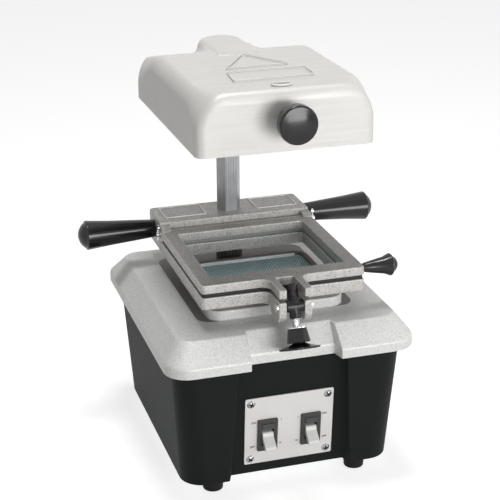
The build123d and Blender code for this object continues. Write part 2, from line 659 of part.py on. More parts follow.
# ---------------------------------------------------------------- switches
with BuildPart() as switch_plate:
    with BuildSketch(panel_plane):
        RectangleRounded(SWITCH_PLATE_WIDTH, SWITCH_PLATE_HEIGHT, SWITCH_PLATE_CORNER)
    extrude(amount=SWITCH_PLATE_THICK)
    switch_cuts()
switch_plate.part.label = "switch_plate"
export_step(switch_plate.part, "parts/switch_plate.step")

for number, place in enumerate(PLATE_SCREW_PLACES, start=1):
    with BuildPart() as plate_screw:
        with BuildSketch(face_plane):
            with Locations(place):
                Circle(PLATE_SCREW_HEAD_DIA / 2)
        extrude(amount=PLATE_SCREW_HEAD)
        fillet(plate_screw.edges().sort_by(Axis(face_plane.origin, face_plane.z_dir))[-1],
               PLATE_SCREW_ROUND)
        with BuildSketch(face_plane):
            with Locations(place):
                Circle(PLATE_SCREW_DIA / 2)
        extrude(amount=-PLATE_SCREW_LENGTH)
    plate_screw.part.label = f"plate_screw_{number}"
    export_step(plate_screw.part, f"parts/plate_screw_{number}.step")

for place, name in zip(SWITCH_PLACES, ("vacuum", "heat")):
    pivot = face_plane.offset(-PADDLE_SET).from_local_coords(Vector(*place, 0))
    pivot_plane = Plane(origin=pivot, x_dir=(0, 1, 0), z_dir=(1, 0, 0))
    pit = BEZEL_THICK + PADDLE_SET + PADDLE_BARREL_DIA / 2 + PADDLE_CLEAR
    with BuildPart() as switch_body:
        with BuildSketch(face_plane):
            with Locations(place):
                RectangleRounded(BEZEL_WIDTH, BEZEL_HEIGHT, BEZEL_CORNER)
        extrude(amount=BEZEL_THICK)
        with BuildSketch(face_plane):
            with Locations(place):
                Rectangle(SWITCH_BODY_WIDTH, SWITCH_BODY_HEIGHT)
        extrude(amount=-SWITCH_BODY_DEPTH)
        with BuildSketch(face_plane.offset(BEZEL_THICK)):
            with Locations(place):
                Rectangle(PADDLE_WIDTH + 2 * PADDLE_CLEAR, 2 * PADDLE_BARREL_DIA)
        extrude(amount=-pit, mode=Mode.SUBTRACT)
        with BuildSketch(pivot_plane):
            Circle(TRUNNION_DIA / 2 + RUN_CLEAR)
        extrude(amount=SWITCH_BODY_WIDTH / 2, both=True, mode=Mode.SUBTRACT)
    switch_body.part.label = f"{name}_switch_body"
    export_step(switch_body.part, f"parts/{name}_switch_body.step")

    # The paddle hangs on two trunnions, with its lever drawn along the plane's x axis
    hang = radians(PANEL_LEAN + PADDLE_REST)
    lever_plane = Plane(origin=pivot, x_dir=(0, -cos(hang), -sin(hang)), z_dir=(1, 0, 0))
    lever = PADDLE_LENGTH - PADDLE_THICK / 2
    with BuildPart() as paddle:
        with BuildSketch(lever_plane):
            Circle(PADDLE_BARREL_DIA / 2)
            with Locations((lever / 2, 0)):
                SlotCenterToCenter(lever, PADDLE_THICK)
        extrude(amount=PADDLE_WIDTH / 2, both=True)
        with BuildSketch(lever_plane):
            Circle(TRUNNION_DIA / 2)
        extrude(amount=SWITCH_BODY_WIDTH / 2 - PADDLE_CLEAR, both=True)
    paddle.part.label = f"{name}_paddle"
    export_step(paddle.part, f"parts/{name}_paddle.step")


# ---------------------------------------------------------------- frames and their slide
def turned_grip(plane, length, root_dia, end_dia, dome):
    """Revolve a tapered grip with a domed end, lying along the plane's x axis."""
    crown = (dome ** 2 + (end_dia / 2) ** 2) / (2 * dome)
    half_angle = asin(end_dia / 2 / crown) / 2
    middle = (length - crown + crown * cos(half_angle), crown * sin(half_angle))
    with BuildSketch(plane) as half_section:
        with BuildLine():
            Polyline((length - dome, end_dia / 2), (0, root_dia / 2), (0, 0), (length, 0))
            ThreePointArc((length, 0), middle, (length - dome, end_dia / 2))
        make_face()
    revolve(half_section.sketch, axis=Axis(plane.origin, plane.x_dir))


def frame_plan(rear):
    """Plan of either frame from its front back to rear, with two front lugs and the opening."""
    with Locations((0, (FRAME_FRONT + rear) / 2)):
        RectangleRounded(FRAME_WIDTH, rear - FRAME_FRONT, FRAME_CORNER)
    bend = LUG_ROOT * (1 - cos(radians(45)))
    for side in (-1, 1):
        inner = side * LUG_GAP / 2
        outer = side * (LUG_GAP / 2 + LUG_WIDTH)
        root = outer + side * LUG_ROOT
        with BuildLine() as lug:
            Polyline((root, FRAME_FRONT), (root, OPENING_FRONT), (inner, OPENING_FRONT),
                     (inner, LUG_FRONT), (outer, LUG_FRONT), (outer, FRAME_FRONT - LUG_ROOT))
            ThreePointArc((outer, FRAME_FRONT - LUG_ROOT),
                          (outer + side * bend, FRAME_FRONT - bend), (root, FRAME_FRONT))
        make_face(lug.edges())
    with Locations((0, WORK_Y)):
        RectangleRounded(OPENING_WIDTH, OPENING_DEPTH, OPENING_CORNER, mode=Mode.SUBTRACT)


LOWER_TOP = LOWER_Z + LOWER_THICK
SCREW_Z = LOWER_Z + LOWER_THICK / 2
OPENING_FRONT = WORK_Y - OPENING_DEPTH / 2
LUG_BOTTOM = LOWER_Z - LUG_DROP
LUG_OUTER = LUG_GAP / 2 + LUG_WIDTH
BLOCK_REAR = BLOCK_FRONT + BLOCK_DEPTH
EAR_INNER = BLOCK_WIDTH / 2 - HINGE_EAR
BLOCK_SCREW_PLACES = [(-BLOCK_SCREW_X, SCREW_Z), (BLOCK_SCREW_X, SCREW_Z)]
block_rear_plane = Plane.XZ.offset(-BLOCK_REAR)
hinge_plane = Plane(origin=(0, HINGE_Y, HINGE_Z), x_dir=(0, 1, 0), z_dir=(1, 0, 0))
pin_plane = Plane(origin=(0, CLAMP_Y, CLAMP_Z), x_dir=(0, 1, 0), z_dir=(1, 0, 0))

with BuildPart() as lower_frame:
    with BuildSketch(Plane.XY.offset(LOWER_Z)):
        frame_plan(BLOCK_FRONT)
    extrude(amount=LOWER_THICK)
    # The lower lugs hang down round the clamp's pin
    for side_x in (-LUG_OUTER, LUG_GAP / 2):
        with BuildSketch(Plane.YZ.offset(side_x)) as lug:
            with BuildLine():
                Polyline((LUG_FRONT, SCREW_Z), (LUG_FRONT, LUG_BOTTOM),
                         (FRAME_FRONT - LUG_ROOT, LUG_BOTTOM), (FRAME_FRONT, LOWER_Z),
                         (FRAME_FRONT, SCREW_Z), close=True)
            make_face()
            fillet(lug.vertices().sort_by_distance((LUG_FRONT, LUG_BOTTOM))[0], LUG_TOE)
        extrude(amount=LUG_WIDTH)
    with BuildSketch(pin_plane):
        Circle(CLAMP_PIN_DIA / 2 + RUN_CLEAR)
    extrude(amount=LUG_OUTER, both=True, mode=Mode.SUBTRACT)
    with BuildSketch(Plane.XZ.offset(-BLOCK_FRONT)):
        with Locations(BLOCK_SCREW_PLACES):
            Circle(BLOCK_SCREW_DIA / 2 + RUN_CLEAR)
    extrude(amount=BLOCK_SCREW_GRIP + BORE_SPARE, mode=Mode.SUBTRACT)
lower_frame.part.label = "lower_frame"
export_step(lower_frame.part, "parts/lower_frame.step")

with BuildPart() as slide_block:
    with BuildSketch(Plane.XY.offset(LOWER_Z)):
        with Locations((0, BLOCK_FRONT + BLOCK_DEPTH / 2)):
            Rectangle(BLOCK_WIDTH, BLOCK_DEPTH)
    extrude(amount=BLOCK_TOP_Z - LOWER_Z)
    fillet(slide_block.edges().filter_by(Axis.Z).group_by(Axis.Y)[-1], BLOCK_CORNER)
    fillet(slide_block.edges().group_by(Axis.Z)[-1], BLOCK_EDGE)
    # Ears that reach over the lower frame and carry the hinge rod
    for side_x in (-BLOCK_WIDTH / 2, EAR_INNER):
        with BuildSketch(hinge_plane.offset(side_x)):
            Circle(HINGE_EAR_RADIUS)
            reach = BLOCK_FRONT + BLOCK_EDGE - HINGE_Y
            with Locations((reach / 2, 0)):
                Rectangle(reach, 2 * HINGE_EAR_RADIUS)
        extrude(amount=HINGE_EAR)
    with BuildSketch(hinge_plane):
        Circle(HINGE_DIA / 2 + RUN_CLEAR)
    extrude(amount=BLOCK_WIDTH / 2, both=True, mode=Mode.SUBTRACT)
    # Bare raised borders on the top
    with BuildSketch(Plane.XY.offset(BLOCK_TOP_Z)):
        with Locations((-CARTOUCHE_X, CARTOUCHE_Y), (CARTOUCHE_X, CARTOUCHE_Y)):
            RectangleRounded(CARTOUCHE_WIDTH, CARTOUCHE_DEPTH, 2 * CARTOUCHE_RIB)
            RectangleRounded(CARTOUCHE_WIDTH - 2 * CARTOUCHE_RIB, CARTOUCHE_DEPTH - 2 * CARTOUCHE_RIB,
                             CARTOUCHE_RIB, mode=Mode.SUBTRACT)
    extrude(amount=CARTOUCHE_HEIGHT)
    # Bores for the post, the handles' studs and the two long screws
    with BuildSketch(Plane.XY.offset(LOWER_Z)):
        with Locations((0, POST_Y)):
            RegularPolygon(HEX_BORE, 6, major_radius=False)
    extrude(amount=BLOCK_TOP_Z - LOWER_Z, mode=Mode.SUBTRACT)
    for side in (-1, 1):
        with BuildSketch(Plane.YZ.offset(side * BLOCK_WIDTH / 2)):
            with Locations((POST_Y, HANDLE_Z)):
                Circle(HANDLE_STUD_DIA / 2 + RUN_CLEAR)
        extrude(amount=-side * (HANDLE_STUD + BORE_SPARE), mode=Mode.SUBTRACT)
    with BuildSketch(block_rear_plane):
        with Locations(BLOCK_SCREW_PLACES):
            Circle(BLOCK_SCREW_DIA / 2 + RUN_CLEAR)
    extrude(amount=BLOCK_DEPTH, mode=Mode.SUBTRACT)
slide_block.part.label = "slide_block"
export_step(slide_block.part, "parts/slide_block.step")

for number, place in enumerate(BLOCK_SCREW_PLACES, start=1):
    with BuildPart() as block_screw:
        with BuildSketch(block_rear_plane):
            with Locations(place):
                Circle(BLOCK_SCREW_HEAD_DIA / 2)
        extrude(amount=-BLOCK_SCREW_HEAD)
        with BuildSketch(block_rear_plane):
            with Locations(place):
                Circle(BLOCK_SCREW_DIA / 2)
        extrude(amount=BLOCK_DEPTH + BLOCK_SCREW_GRIP)
    block_screw.part.label = f"block_screw_{number}"
    export_step(block_screw.part, f"parts/block_screw_{number}.step")

for side, name in ((-1, "left_handle"), (1, "right_handle")):
    root = (side * BLOCK_WIDTH / 2, POST_Y, HANDLE_Z)
    with BuildPart() as handle:
        turned_grip(Plane(origin=root, x_dir=(side, 0, 0), z_dir=(0, -side, 0)),
                    HANDLE_LENGTH, HANDLE_ROOT_DIA, HANDLE_END_DIA, HANDLE_DOME)
        with BuildSketch(Plane(origin=root, x_dir=(0, 1, 0), z_dir=(-side, 0, 0))):
            Circle(HANDLE_STUD_DIA / 2)
        extrude(amount=HANDLE_STUD)
    handle.part.label = name
    export_step(handle.part, f"parts/{name}.step")

ROD_HALF = BLOCK_WIDTH / 2 + HINGE_END
CLIP_X = ROD_HALF - CLIP_INSET

with BuildPart() as hinge_rod:
    with BuildSketch(hinge_plane):
        Circle(HINGE_DIA / 2)
    extrude(amount=ROD_HALF, both=True)
    with BuildSketch(Plane.XY.offset(HINGE_Z)):
        with Locations((-CLIP_X, HINGE_Y), (CLIP_X, HINGE_Y)):
            Circle(CLIP_DIA / 2 + RUN_CLEAR)
    extrude(amount=HINGE_DIA, both=True, mode=Mode.SUBTRACT)
hinge_rod.part.label = "hinge_rod"
export_step(hinge_rod.part, "parts/hinge_rod.step")

for clip_x, name in ((-CLIP_X, "hinge_clip_left"), (CLIP_X, "hinge_clip_right")):
    with BuildPart() as hinge_clip:
        with BuildSketch(Plane.XY.offset(HINGE_Z)):
            with Locations((clip_x, HINGE_Y)):
                Circle(CLIP_DIA / 2)
        extrude(amount=CLIP_LENGTH / 2, both=True)
        with BuildSketch(Plane.YZ.offset(clip_x)):
            with Locations((HINGE_Y, HINGE_Z + (CLIP_LENGTH + CLIP_EYE_DIA) / 2 - CLIP_WIRE / 2)):
                Circle(CLIP_EYE_DIA / 2)
                Circle(CLIP_EYE_DIA / 2 - CLIP_WIRE, mode=Mode.SUBTRACT)
        extrude(amount=CLIP_WIRE / 2, both=True)
    hinge_clip.part.label = name
    export_step(hinge_clip.part, f"parts/{name}.step")

with BuildPart() as upper_frame:
    notch_x = EAR_INNER - SHEET_CLEAR
    notch_y = HINGE_Y - HINGE_EAR_RADIUS - SHEET_CLEAR
    with BuildSketch(Plane.XY.offset(UPPER_Z)):
        frame_plan(HINGE_Y)
        for side in (-1, 1):
            with Locations((side * (notch_x + FRAME_WIDTH / 2), notch_y + FRAME_WIDTH / 2)):
                Rectangle(FRAME_WIDTH, FRAME_WIDTH, mode=Mode.SUBTRACT)
    extrude(amount=UPPER_THICK)
    fillet(upper_frame.edges().group_by(Axis.Y)[0].group_by(Axis.Z)[-1], LUG_TIP_ROUND)
    with BuildSketch(hinge_plane):
        Circle(UPPER_THICK / 2)
    extrude(amount=notch_x, both=True)
    with BuildSketch(hinge_plane):
        Circle(HINGE_DIA / 2 + RUN_CLEAR)
    extrude(amount=notch_x, both=True, mode=Mode.SUBTRACT)
    with BuildSketch(Plane.YZ.offset(FRAME_WIDTH / 2)):
        with Locations((LIFT_KNOB_Y, HINGE_Z)):
            Circle(LIFT_STUD_DIA / 2 + RUN_CLEAR)
    extrude(amount=-LIFT_STUD - BORE_SPARE, mode=Mode.SUBTRACT)
upper_frame.part.label = "upper_frame"
export_step(upper_frame.part, "parts/upper_frame.step")

with BuildPart() as frame_gasket:
    with BuildSketch(Plane.XY.offset(LOWER_TOP + FLAT_CLEAR)):
        gasket_front = FRAME_FRONT + GASKET_INSET
        gasket_rear = notch_y - GASKET_INSET
        with Locations((0, (gasket_front + gasket_rear) / 2)):
            RectangleRounded(FRAME_WIDTH - 2 * GASKET_INSET, gasket_rear - gasket_front, FRAME_CORNER)
        with Locations((0, WORK_Y)):
            RectangleRounded(OPENING_WIDTH + 2 * GASKET_INSET, OPENING_DEPTH + 2 * GASKET_INSET,
                             OPENING_CORNER, mode=Mode.SUBTRACT)
    extrude(amount=GASKET_THICK - FLAT_CLEAR)
frame_gasket.part.label = "frame_gasket"
export_step(frame_gasket.part, "parts/frame_gasket.step")

with BuildPart() as lift_knob:
    lift_root = (FRAME_WIDTH / 2, LIFT_KNOB_Y, HINGE_Z)
    turned_grip(Plane(origin=lift_root, x_dir=(1, 0, 0), z_dir=(0, -1, 0)),
                LIFT_KNOB_LENGTH, LIFT_KNOB_ROOT_DIA, LIFT_KNOB_DIA, LIFT_KNOB_DOME)
    with BuildSketch(Plane(origin=lift_root, x_dir=(0, 1, 0), z_dir=(-1, 0, 0))):
        Circle(LIFT_STUD_DIA / 2)
    extrude(amount=LIFT_STUD)
lift_knob.part.label = "lift_knob"
export_step(lift_knob.part, "parts/lift_knob.step")

# ---------------------------------------------------------------- swing clamp
HUB_START = WASHER_AT + WASHER_THICK
HUB_END = HUB_START + HUB_LENGTH
DISC_START = HUB_END + NECK_LENGTH
DISC_END = DISC_START + DISC_THICK
THREAD_END = HUB_START + THREAD_IN_HUB

# The clamp hangs from its pivot with the disc's inner edge just in front of the cover's notch
disc_reach = hypot(DISC_START, DISC_DIA / 2)
CLAMP_LEAN = degrees(acos((NOTCH_Y - KNOB_CLEAR - CLAMP_Y) / disc_reach)
                     - atan2(DISC_START, DISC_DIA / 2))
clamp_plane = Plane(
    origin=pin_plane.origin,
    x_dir=(1, 0, 0),
    z_dir=(0, -sin(radians(CLAMP_LEAN)), -cos(radians(CLAMP_LEAN))),
)
clamp_side = Plane(origin=pin_plane.origin, x_dir=clamp_plane.z_dir, z_dir=(1, 0, 0))

with BuildPart() as swing_bolt:
    with BuildSketch(clamp_plane.offset(-BOLT_HEEL)):
        Circle(BOLT_DIA / 2)
    extrude(amount=BOLT_HEEL + BOLT_SHOULDER)
    chamfer(swing_bolt.edges().filter_by(GeomType.CIRCLE), BOLT_EDGE)
    with BuildSketch(clamp_plane.offset(BOLT_SHOULDER)):
        Circle(BOLT_THREAD_DIA / 2)
    extrude(amount=THREAD_END - BOLT_SHOULDER)
    with BuildSketch(pin_plane):
        Circle(EYE_DIA / 2)
    extrude(amount=LUG_GAP / 2 - SHEET_CLEAR, both=True)
    with BuildSketch(pin_plane):
        Circle(CLAMP_PIN_DIA / 2 + RUN_CLEAR)
    extrude(amount=LUG_GAP / 2, both=True, mode=Mode.SUBTRACT)
swing_bolt.part.label = "swing_bolt"
export_step(swing_bolt.part, "parts/swing_bolt.step")

with BuildPart() as clamp_pin:
    with BuildSketch(pin_plane):
        Circle(CLAMP_PIN_DIA / 2)
    extrude(amount=LUG_OUTER, both=True)
    for side in (-1, 1):
        with BuildSketch(pin_plane.offset(side * LUG_OUTER)):
            Circle(CLAMP_PIN_HEAD_DIA / 2)
        extrude(amount=side * CLAMP_PIN_HEAD)
clamp_pin.part.label = "clamp_pin"
export_step(clamp_pin.part, "parts/clamp_pin.step")

with BuildPart() as clamp_washer:
    with BuildSketch(clamp_plane.offset(WASHER_AT)):
        Circle(WASHER_DIA / 2)
        Circle(BOLT_THREAD_DIA / 2 + RUN_CLEAR, mode=Mode.SUBTRACT)
    extrude(amount=WASHER_THICK)
clamp_washer.part.label = "clamp_washer"
export_step(clamp_washer.part, "parts/clamp_washer.step")

with BuildPart() as clamp_knob:
    bore = BOLT_THREAD_DIA / 2 + RUN_CLEAR
    bore_end = THREAD_END + KNOB_BITE + BORE_SPARE
    with BuildSketch(clamp_side):
        with BuildLine():
            Polyline((HUB_START, bore), (HUB_START, HUB_TOP_DIA / 2), (HUB_END, HUB_END_DIA / 2),
                     (HUB_END, NECK_DIA / 2), (DISC_START, NECK_DIA / 2), (DISC_START, DISC_DIA / 2),
                     (DISC_END, DISC_DIA / 2), (DISC_END, 0), (bore_end, 0), (bore_end, bore),
                     close=True)
        make_face()
    revolve(axis=Axis(clamp_side.origin, clamp_side.x_dir))
    rim = clamp_knob.edges().filter_by(GeomType.CIRCLE).sort_by(SortBy.RADIUS)[-2:]
    fillet(rim, DISC_THICK / 3)
clamp_knob.part.label = "clamp_knob"
export_step(clamp_knob.part, "parts/clamp_knob.step")


# ---------------------------------------------------------------- heater
def hood_form(inset):
    """The hood's form drawn in by inset, cut from its front view, side view and plan in turn."""
    half, top = HOOD_WIDTH / 2 - inset, HOOD_TOP - inset
    front, rear = HOOD_FRONT + inset, HOOD_REAR - inset
    with BuildSketch(Plane.XZ.offset(-rear)) as front_view:
        with BuildLine():
            Polyline((-half, HOOD_BOTTOM), (-half, top), (half, top), (half, HOOD_BOTTOM), close=True)
        make_face()
        fillet(front_view.vertices().group_by(Axis.Y)[-1], HOOD_SHOULDER - inset)
    with BuildSketch(Plane.YZ.offset(-half)) as side_view:
        with BuildLine():
            Polyline((front, HOOD_BOTTOM), (front, top), (HOOD_SLOPE_Y, top),
                     (rear, top - HOOD_SLOPE_DROP), (rear, HOOD_BOTTOM), close=True)
        make_face()
        fillet(side_view.vertices().sort_by_distance((front, top))[0], HOOD_FRONT_ROUND - inset)
        fillet(side_view.vertices().sort_by_distance((rear, top - HOOD_SLOPE_DROP))[0],
               HOOD_REAR_ROUND - inset)
    with BuildSketch(Plane.XY.offset(HOOD_BOTTOM)) as plan:
        with BuildLine():
            Polyline((-half, front), (half, front), (half, rear), (-half, rear), close=True)
        make_face()
        fillet(plan.vertices().group_by(Axis.Y)[0], HOOD_FRONT_ROUND - inset)
        fillet(plan.vertices().group_by(Axis.Y)[-1], HOOD_CORNER - inset)
    extrude(front_view.sketch, amount=rear - front)
    extrude(side_view.sketch, amount=2 * half, mode=Mode.INTERSECT)
    extrude(plan.sketch, amount=top - HOOD_BOTTOM, mode=Mode.INTERSECT)


ELEMENT_HALF = (ELEMENT_LEGS - 1) * ELEMENT_PITCH / 2
BUSHING_TOP = POST_TOP + BUSHING_TOP_CLEAR

with BuildPart() as hinge_boss:
    with BuildSketch(Plane.XY.offset(HOOD_BOTTOM)):
        boss_centre = HINGE_BOSS_REAR - HINGE_BOSS_WIDTH / 2
        with Locations((0, (HOOD_PARTITION + boss_centre) / 2)):
            Rectangle(HINGE_BOSS_WIDTH, boss_centre - HOOD_PARTITION)
        with Locations((0, boss_centre)):
            Circle(HINGE_BOSS_WIDTH / 2)
    extrude(amount=HINGE_BOSS_TOP - HOOD_BOTTOM)
    fillet(hinge_boss.edges().group_by(Axis.Z)[-1], HINGE_BOSS_ROUND)

with BuildPart() as hood_hollow:
    hood_form(HOOD_WALL)
    with BuildSketch(Plane.XY.offset(HOOD_BOTTOM)):
        with Locations((0, HOOD_PARTITION + HOOD_WALL / 2)):
            Rectangle(HOOD_WIDTH, HOOD_WALL)
    extrude(amount=HOOD_TOP - HOOD_BOTTOM, mode=Mode.SUBTRACT)

with BuildPart() as heater_hood:
    hood_form(0)
    add(hood_hollow.part, mode=Mode.SUBTRACT)
    add(hinge_boss.part)
    with BuildSketch(Plane.XY.offset(HOOD_BOTTOM)):
        with Locations((0, POST_Y)):
            Circle(BUSHING_DIA / 2 + RUN_CLEAR)
    extrude(amount=BUSHING_TOP - HOOD_BOTTOM, mode=Mode.SUBTRACT)
    with BuildSketch(Plane.XZ.offset(-HINGE_BOSS_REAR)):
        with Locations((0, SET_SCREW_Z)):
            Circle(SET_SCREW_DIA / 2 + RUN_CLEAR)
    extrude(amount=HINGE_BOSS_REAR - POST_Y, mode=Mode.SUBTRACT)
heater_hood.part.label = "heater_hood"
export_step(heater_hood.part, "parts/heater_hood.step")

with BuildPart() as hood_set_screw:
    with BuildSketch(Plane.XZ.offset(-POST_Y - BUSHING_DIA / 2 - RUN_CLEAR)):
        with Locations((0, SET_SCREW_Z)):
            Circle(SET_SCREW_DIA / 2)
    extrude(amount=-(HINGE_BOSS_REAR - POST_Y - BUSHING_DIA / 2 - BORE_SPARE))
hood_set_screw.part.label = "hood_set_screw"
export_step(hood_set_screw.part, "parts/hood_set_screw.step")

with BuildPart() as heater_bushing:
    with BuildSketch(Plane.XY.offset(HOOD_BOTTOM)):
        with Locations((0, POST_Y)):
            Circle(THRUST_DIA / 2)
    extrude(amount=-THRUST_THICK)
    with BuildSketch(Plane.XY.offset(HOOD_BOTTOM)):
        with Locations((0, POST_Y)):
            Circle(BUSHING_DIA / 2)
    extrude(amount=BUSHING_TOP - BORE_SPARE - HOOD_BOTTOM)
    with BuildSketch(Plane.XY.offset(HOOD_BOTTOM - THRUST_THICK)):
        with Locations((0, POST_Y)):
            Circle(POST_SPIGOT_DIA / 2 + RUN_CLEAR)
    extrude(amount=BUSHING_TOP - HOOD_BOTTOM + THRUST_THICK, mode=Mode.SUBTRACT)
heater_bushing.part.label = "heater_bushing"
export_step(heater_bushing.part, "parts/heater_bushing.step")

with BuildPart() as reflector:
    ceiling = HOOD_TOP - HOOD_WALL
    slope = (REFLECTOR_WIDTH - REFLECTOR_TOP_WIDTH) / 2 / (ceiling - REFLECTOR_Z)
    skin = REFLECTOR_SHEET * hypot(1, slope)
    front = HOOD_FRONT + HOOD_WALL + HOOD_FRONT_ROUND
    with BuildSketch(Plane.XZ.offset(-HOOD_SLOPE_Y)):
        for trim, mode in ((0, Mode.ADD), (1, Mode.SUBTRACT)):
            low = REFLECTOR_WIDTH / 2 - trim * skin
            roof = ceiling - trim * REFLECTOR_SHEET
            high = low - slope * (roof - REFLECTOR_Z)
            with BuildLine():
                Polyline((-low, REFLECTOR_Z), (-high, roof), (high, roof), (low, REFLECTOR_Z), close=True)
            make_face(mode=mode)
    extrude(amount=HOOD_SLOPE_Y - front)
reflector.part.label = "reflector"
export_step(reflector.part, "parts/reflector.step")

with BuildPart() as heater_element:
    # The tube runs out and back in one plane, with a half-round bend at the end of each leg
    corners = [(-ELEMENT_HALF, HOOD_PARTITION)]
    for leg in range(ELEMENT_LEGS):
        leg_x = leg * ELEMENT_PITCH - ELEMENT_HALF
        ends = (ELEMENT_REAR, ELEMENT_FRONT) if leg % 2 == 0 else (ELEMENT_FRONT, ELEMENT_REAR)
        corners += [(leg_x, end) for end in ends]
    corners = [corners[0]] + corners[2:-1] + [(ELEMENT_HALF, HOOD_PARTITION)]
    with BuildLine(Plane.XY.offset(ELEMENT_Z)) as run:
        FilletPolyline(*corners, radius=ELEMENT_BEND)
    with BuildSketch(Plane(origin=run.line @ 0, x_dir=(1, 0, 0), z_dir=run.line % 0)):
        Circle(ELEMENT_DIA / 2)
    sweep(path=run.line)
heater_element.part.label = "heater_element"
export_step(heater_element.part, "parts/heater_element.step")

for number, bar_y in enumerate((ELEMENT_FRONT + INSULATOR_INSET, ELEMENT_REAR - INSULATOR_INSET), start=1):
    with BuildPart() as insulator:
        with BuildSketch(Plane.XZ.offset(-bar_y)):
            with Locations((0, ELEMENT_Z)):
                Rectangle(HOOD_WIDTH - 2 * HOOD_WALL - 2 * SHEET_CLEAR, INSULATOR_HEIGHT)
                with GridLocations(ELEMENT_PITCH, 0, ELEMENT_LEGS, 1):
                    Circle(ELEMENT_DIA / 2 + RUN_CLEAR, mode=Mode.SUBTRACT)
        extrude(amount=INSULATOR_WIDTH / 2, both=True)
    insulator.part.label = f"insulator_{number}"
    export_step(insulator.part, f"parts/insulator_{number}.step")

with BuildPart() as heater_knob:
    with BuildSketch(Plane.XZ.offset(-HOOD_FRONT)):
        with Locations((0, HOOD_KNOB_Z)):
            Circle(HOOD_KNOB_NECK_DIA / 2)
    extrude(amount=HOOD_KNOB_NECK)
    with BuildSketch(Plane.XZ.offset(-HOOD_FRONT + HOOD_KNOB_NECK)):
        with Locations((0, HOOD_KNOB_Z)):
            Circle(HOOD_KNOB_DIA / 2)
    extrude(amount=HOOD_KNOB_THICK)
    rim = heater_knob.edges().filter_by(GeomType.CIRCLE).sort_by(SortBy.RADIUS)[-2:]
    fillet(rim, HOOD_KNOB_ROUND)
heater_knob.part.label = "heater_knob"
export_step(heater_knob.part, "parts/heater_knob.step")

print("slide range below rest, mm:", -SLIDE_DROP)
print("clamp lean from upright, degrees:", CLAMP_LEAN, "and left to upright:", 180 - CLAMP_LEAN)
print("hinge axis y, z:", HINGE_Y, HINGE_Z)
print("panel lean, degrees:", PANEL_LEAN)
for name, place in zip(("vacuum", "heat"), SWITCH_PLACES):
    print(name, "paddle pivot:", face_plane.offset(-PADDLE_SET).from_local_coords(Vector(*place, 0)))
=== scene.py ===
from math import cos, hypot, pi, radians, sin, sqrt

import bmesh
import bpy
from mathutils import Matrix, Vector


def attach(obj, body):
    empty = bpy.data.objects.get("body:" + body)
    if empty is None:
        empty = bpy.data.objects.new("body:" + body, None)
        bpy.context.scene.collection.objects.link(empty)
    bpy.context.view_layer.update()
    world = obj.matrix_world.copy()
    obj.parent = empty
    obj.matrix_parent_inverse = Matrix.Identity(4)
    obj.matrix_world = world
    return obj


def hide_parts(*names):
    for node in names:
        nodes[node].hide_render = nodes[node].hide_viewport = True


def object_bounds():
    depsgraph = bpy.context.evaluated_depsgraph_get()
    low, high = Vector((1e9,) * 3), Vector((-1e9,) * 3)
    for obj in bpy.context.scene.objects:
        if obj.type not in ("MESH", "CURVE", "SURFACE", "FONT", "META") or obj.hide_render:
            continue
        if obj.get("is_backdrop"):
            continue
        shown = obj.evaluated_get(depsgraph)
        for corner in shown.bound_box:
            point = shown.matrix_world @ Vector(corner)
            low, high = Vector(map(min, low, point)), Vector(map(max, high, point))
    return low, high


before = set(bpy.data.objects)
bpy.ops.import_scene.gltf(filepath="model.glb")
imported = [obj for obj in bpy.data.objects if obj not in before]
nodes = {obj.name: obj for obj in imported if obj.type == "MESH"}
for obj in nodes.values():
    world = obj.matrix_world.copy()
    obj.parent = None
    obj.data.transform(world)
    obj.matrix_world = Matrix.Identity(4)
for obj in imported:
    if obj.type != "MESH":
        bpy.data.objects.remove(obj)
cad_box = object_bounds()

# ---------------------------------------------------------------- viewpoint
# A long lens looks down on the machine from its left front, from a little above the heater.
MM = 0.001
EYE = (-326.5, -1062.1, 598.3)
LOOK_DOWN, LOOK_RIGHT, TILT = radians(20.863), radians(16.987), radians(-0.415)
LENS, FILM_WIDE, FAR_LIMIT = 98.2, 36.0, 20.0


def add_object(name, data):
    """Put an object in the scene."""
    added = bpy.data.objects.new(name, data)
    bpy.context.scene.collection.objects.link(added)
    return added


ahead = Vector((sin(LOOK_RIGHT) * cos(LOOK_DOWN), cos(LOOK_RIGHT) * cos(LOOK_DOWN), -sin(LOOK_DOWN)))
level = Vector((cos(LOOK_RIGHT), -sin(LOOK_RIGHT), 0))
upward = level.cross(ahead)
across = cos(TILT) * level + sin(TILT) * upward
upward = cos(TILT) * upward - sin(TILT) * level
viewpoint = add_object("viewpoint", bpy.data.cameras.new("viewpoint"))
turned_to = Matrix((across, upward, -ahead)).transposed().to_4x4()
viewpoint.matrix_world = Matrix.Translation(Vector(EYE) * MM) @ turned_to
viewpoint.data.sensor_width, viewpoint.data.lens, viewpoint.data.clip_end = FILM_WIDE, LENS, FAR_LIMIT
bpy.context.scene.camera = viewpoint
bpy.context.scene.view_settings.view_transform = "Standard"


# ---------------------------------------------------------------- bench and light
# The machine stands on a plain pale bench in a white room. The main soft lamp is low in front of
# it, with a weak one at its right, another over it, and a narrow strip at its left.
BENCH_HALF, BENCH_GLOW = 4.0, 0.7
BENCH_WHITE = (0.60, 0.60, 0.595, 1)
ROOM_LEFT, ROOM_RIGHT = 0.12, 0.29
LAMPS_AIM = Vector((0, 0, 0.2))


def place(tree, kind, settings=None, **sockets):
    """Put a shader node in a tree with its settings, and its sockets' values or links."""
    node = tree.nodes.new("ShaderNode" + kind)
    for name, value in (settings or {}).items():
        setattr(node, name, value)
    for name, value in sockets.items():
        key = int(name[1:]) if name[0] == "_" else name.replace("_", " ")
        if isinstance(value, bpy.types.NodeSocket):
            tree.links.new(value, node.inputs[key])
        else:
            node.inputs[key].default_value = value
    return node


def maths(tree, operation, first, second=0.0):
    """One sum on two numbers or sockets."""
    return place(tree, "Math", {"operation": operation}, _0=first, _1=second).outputs[0]


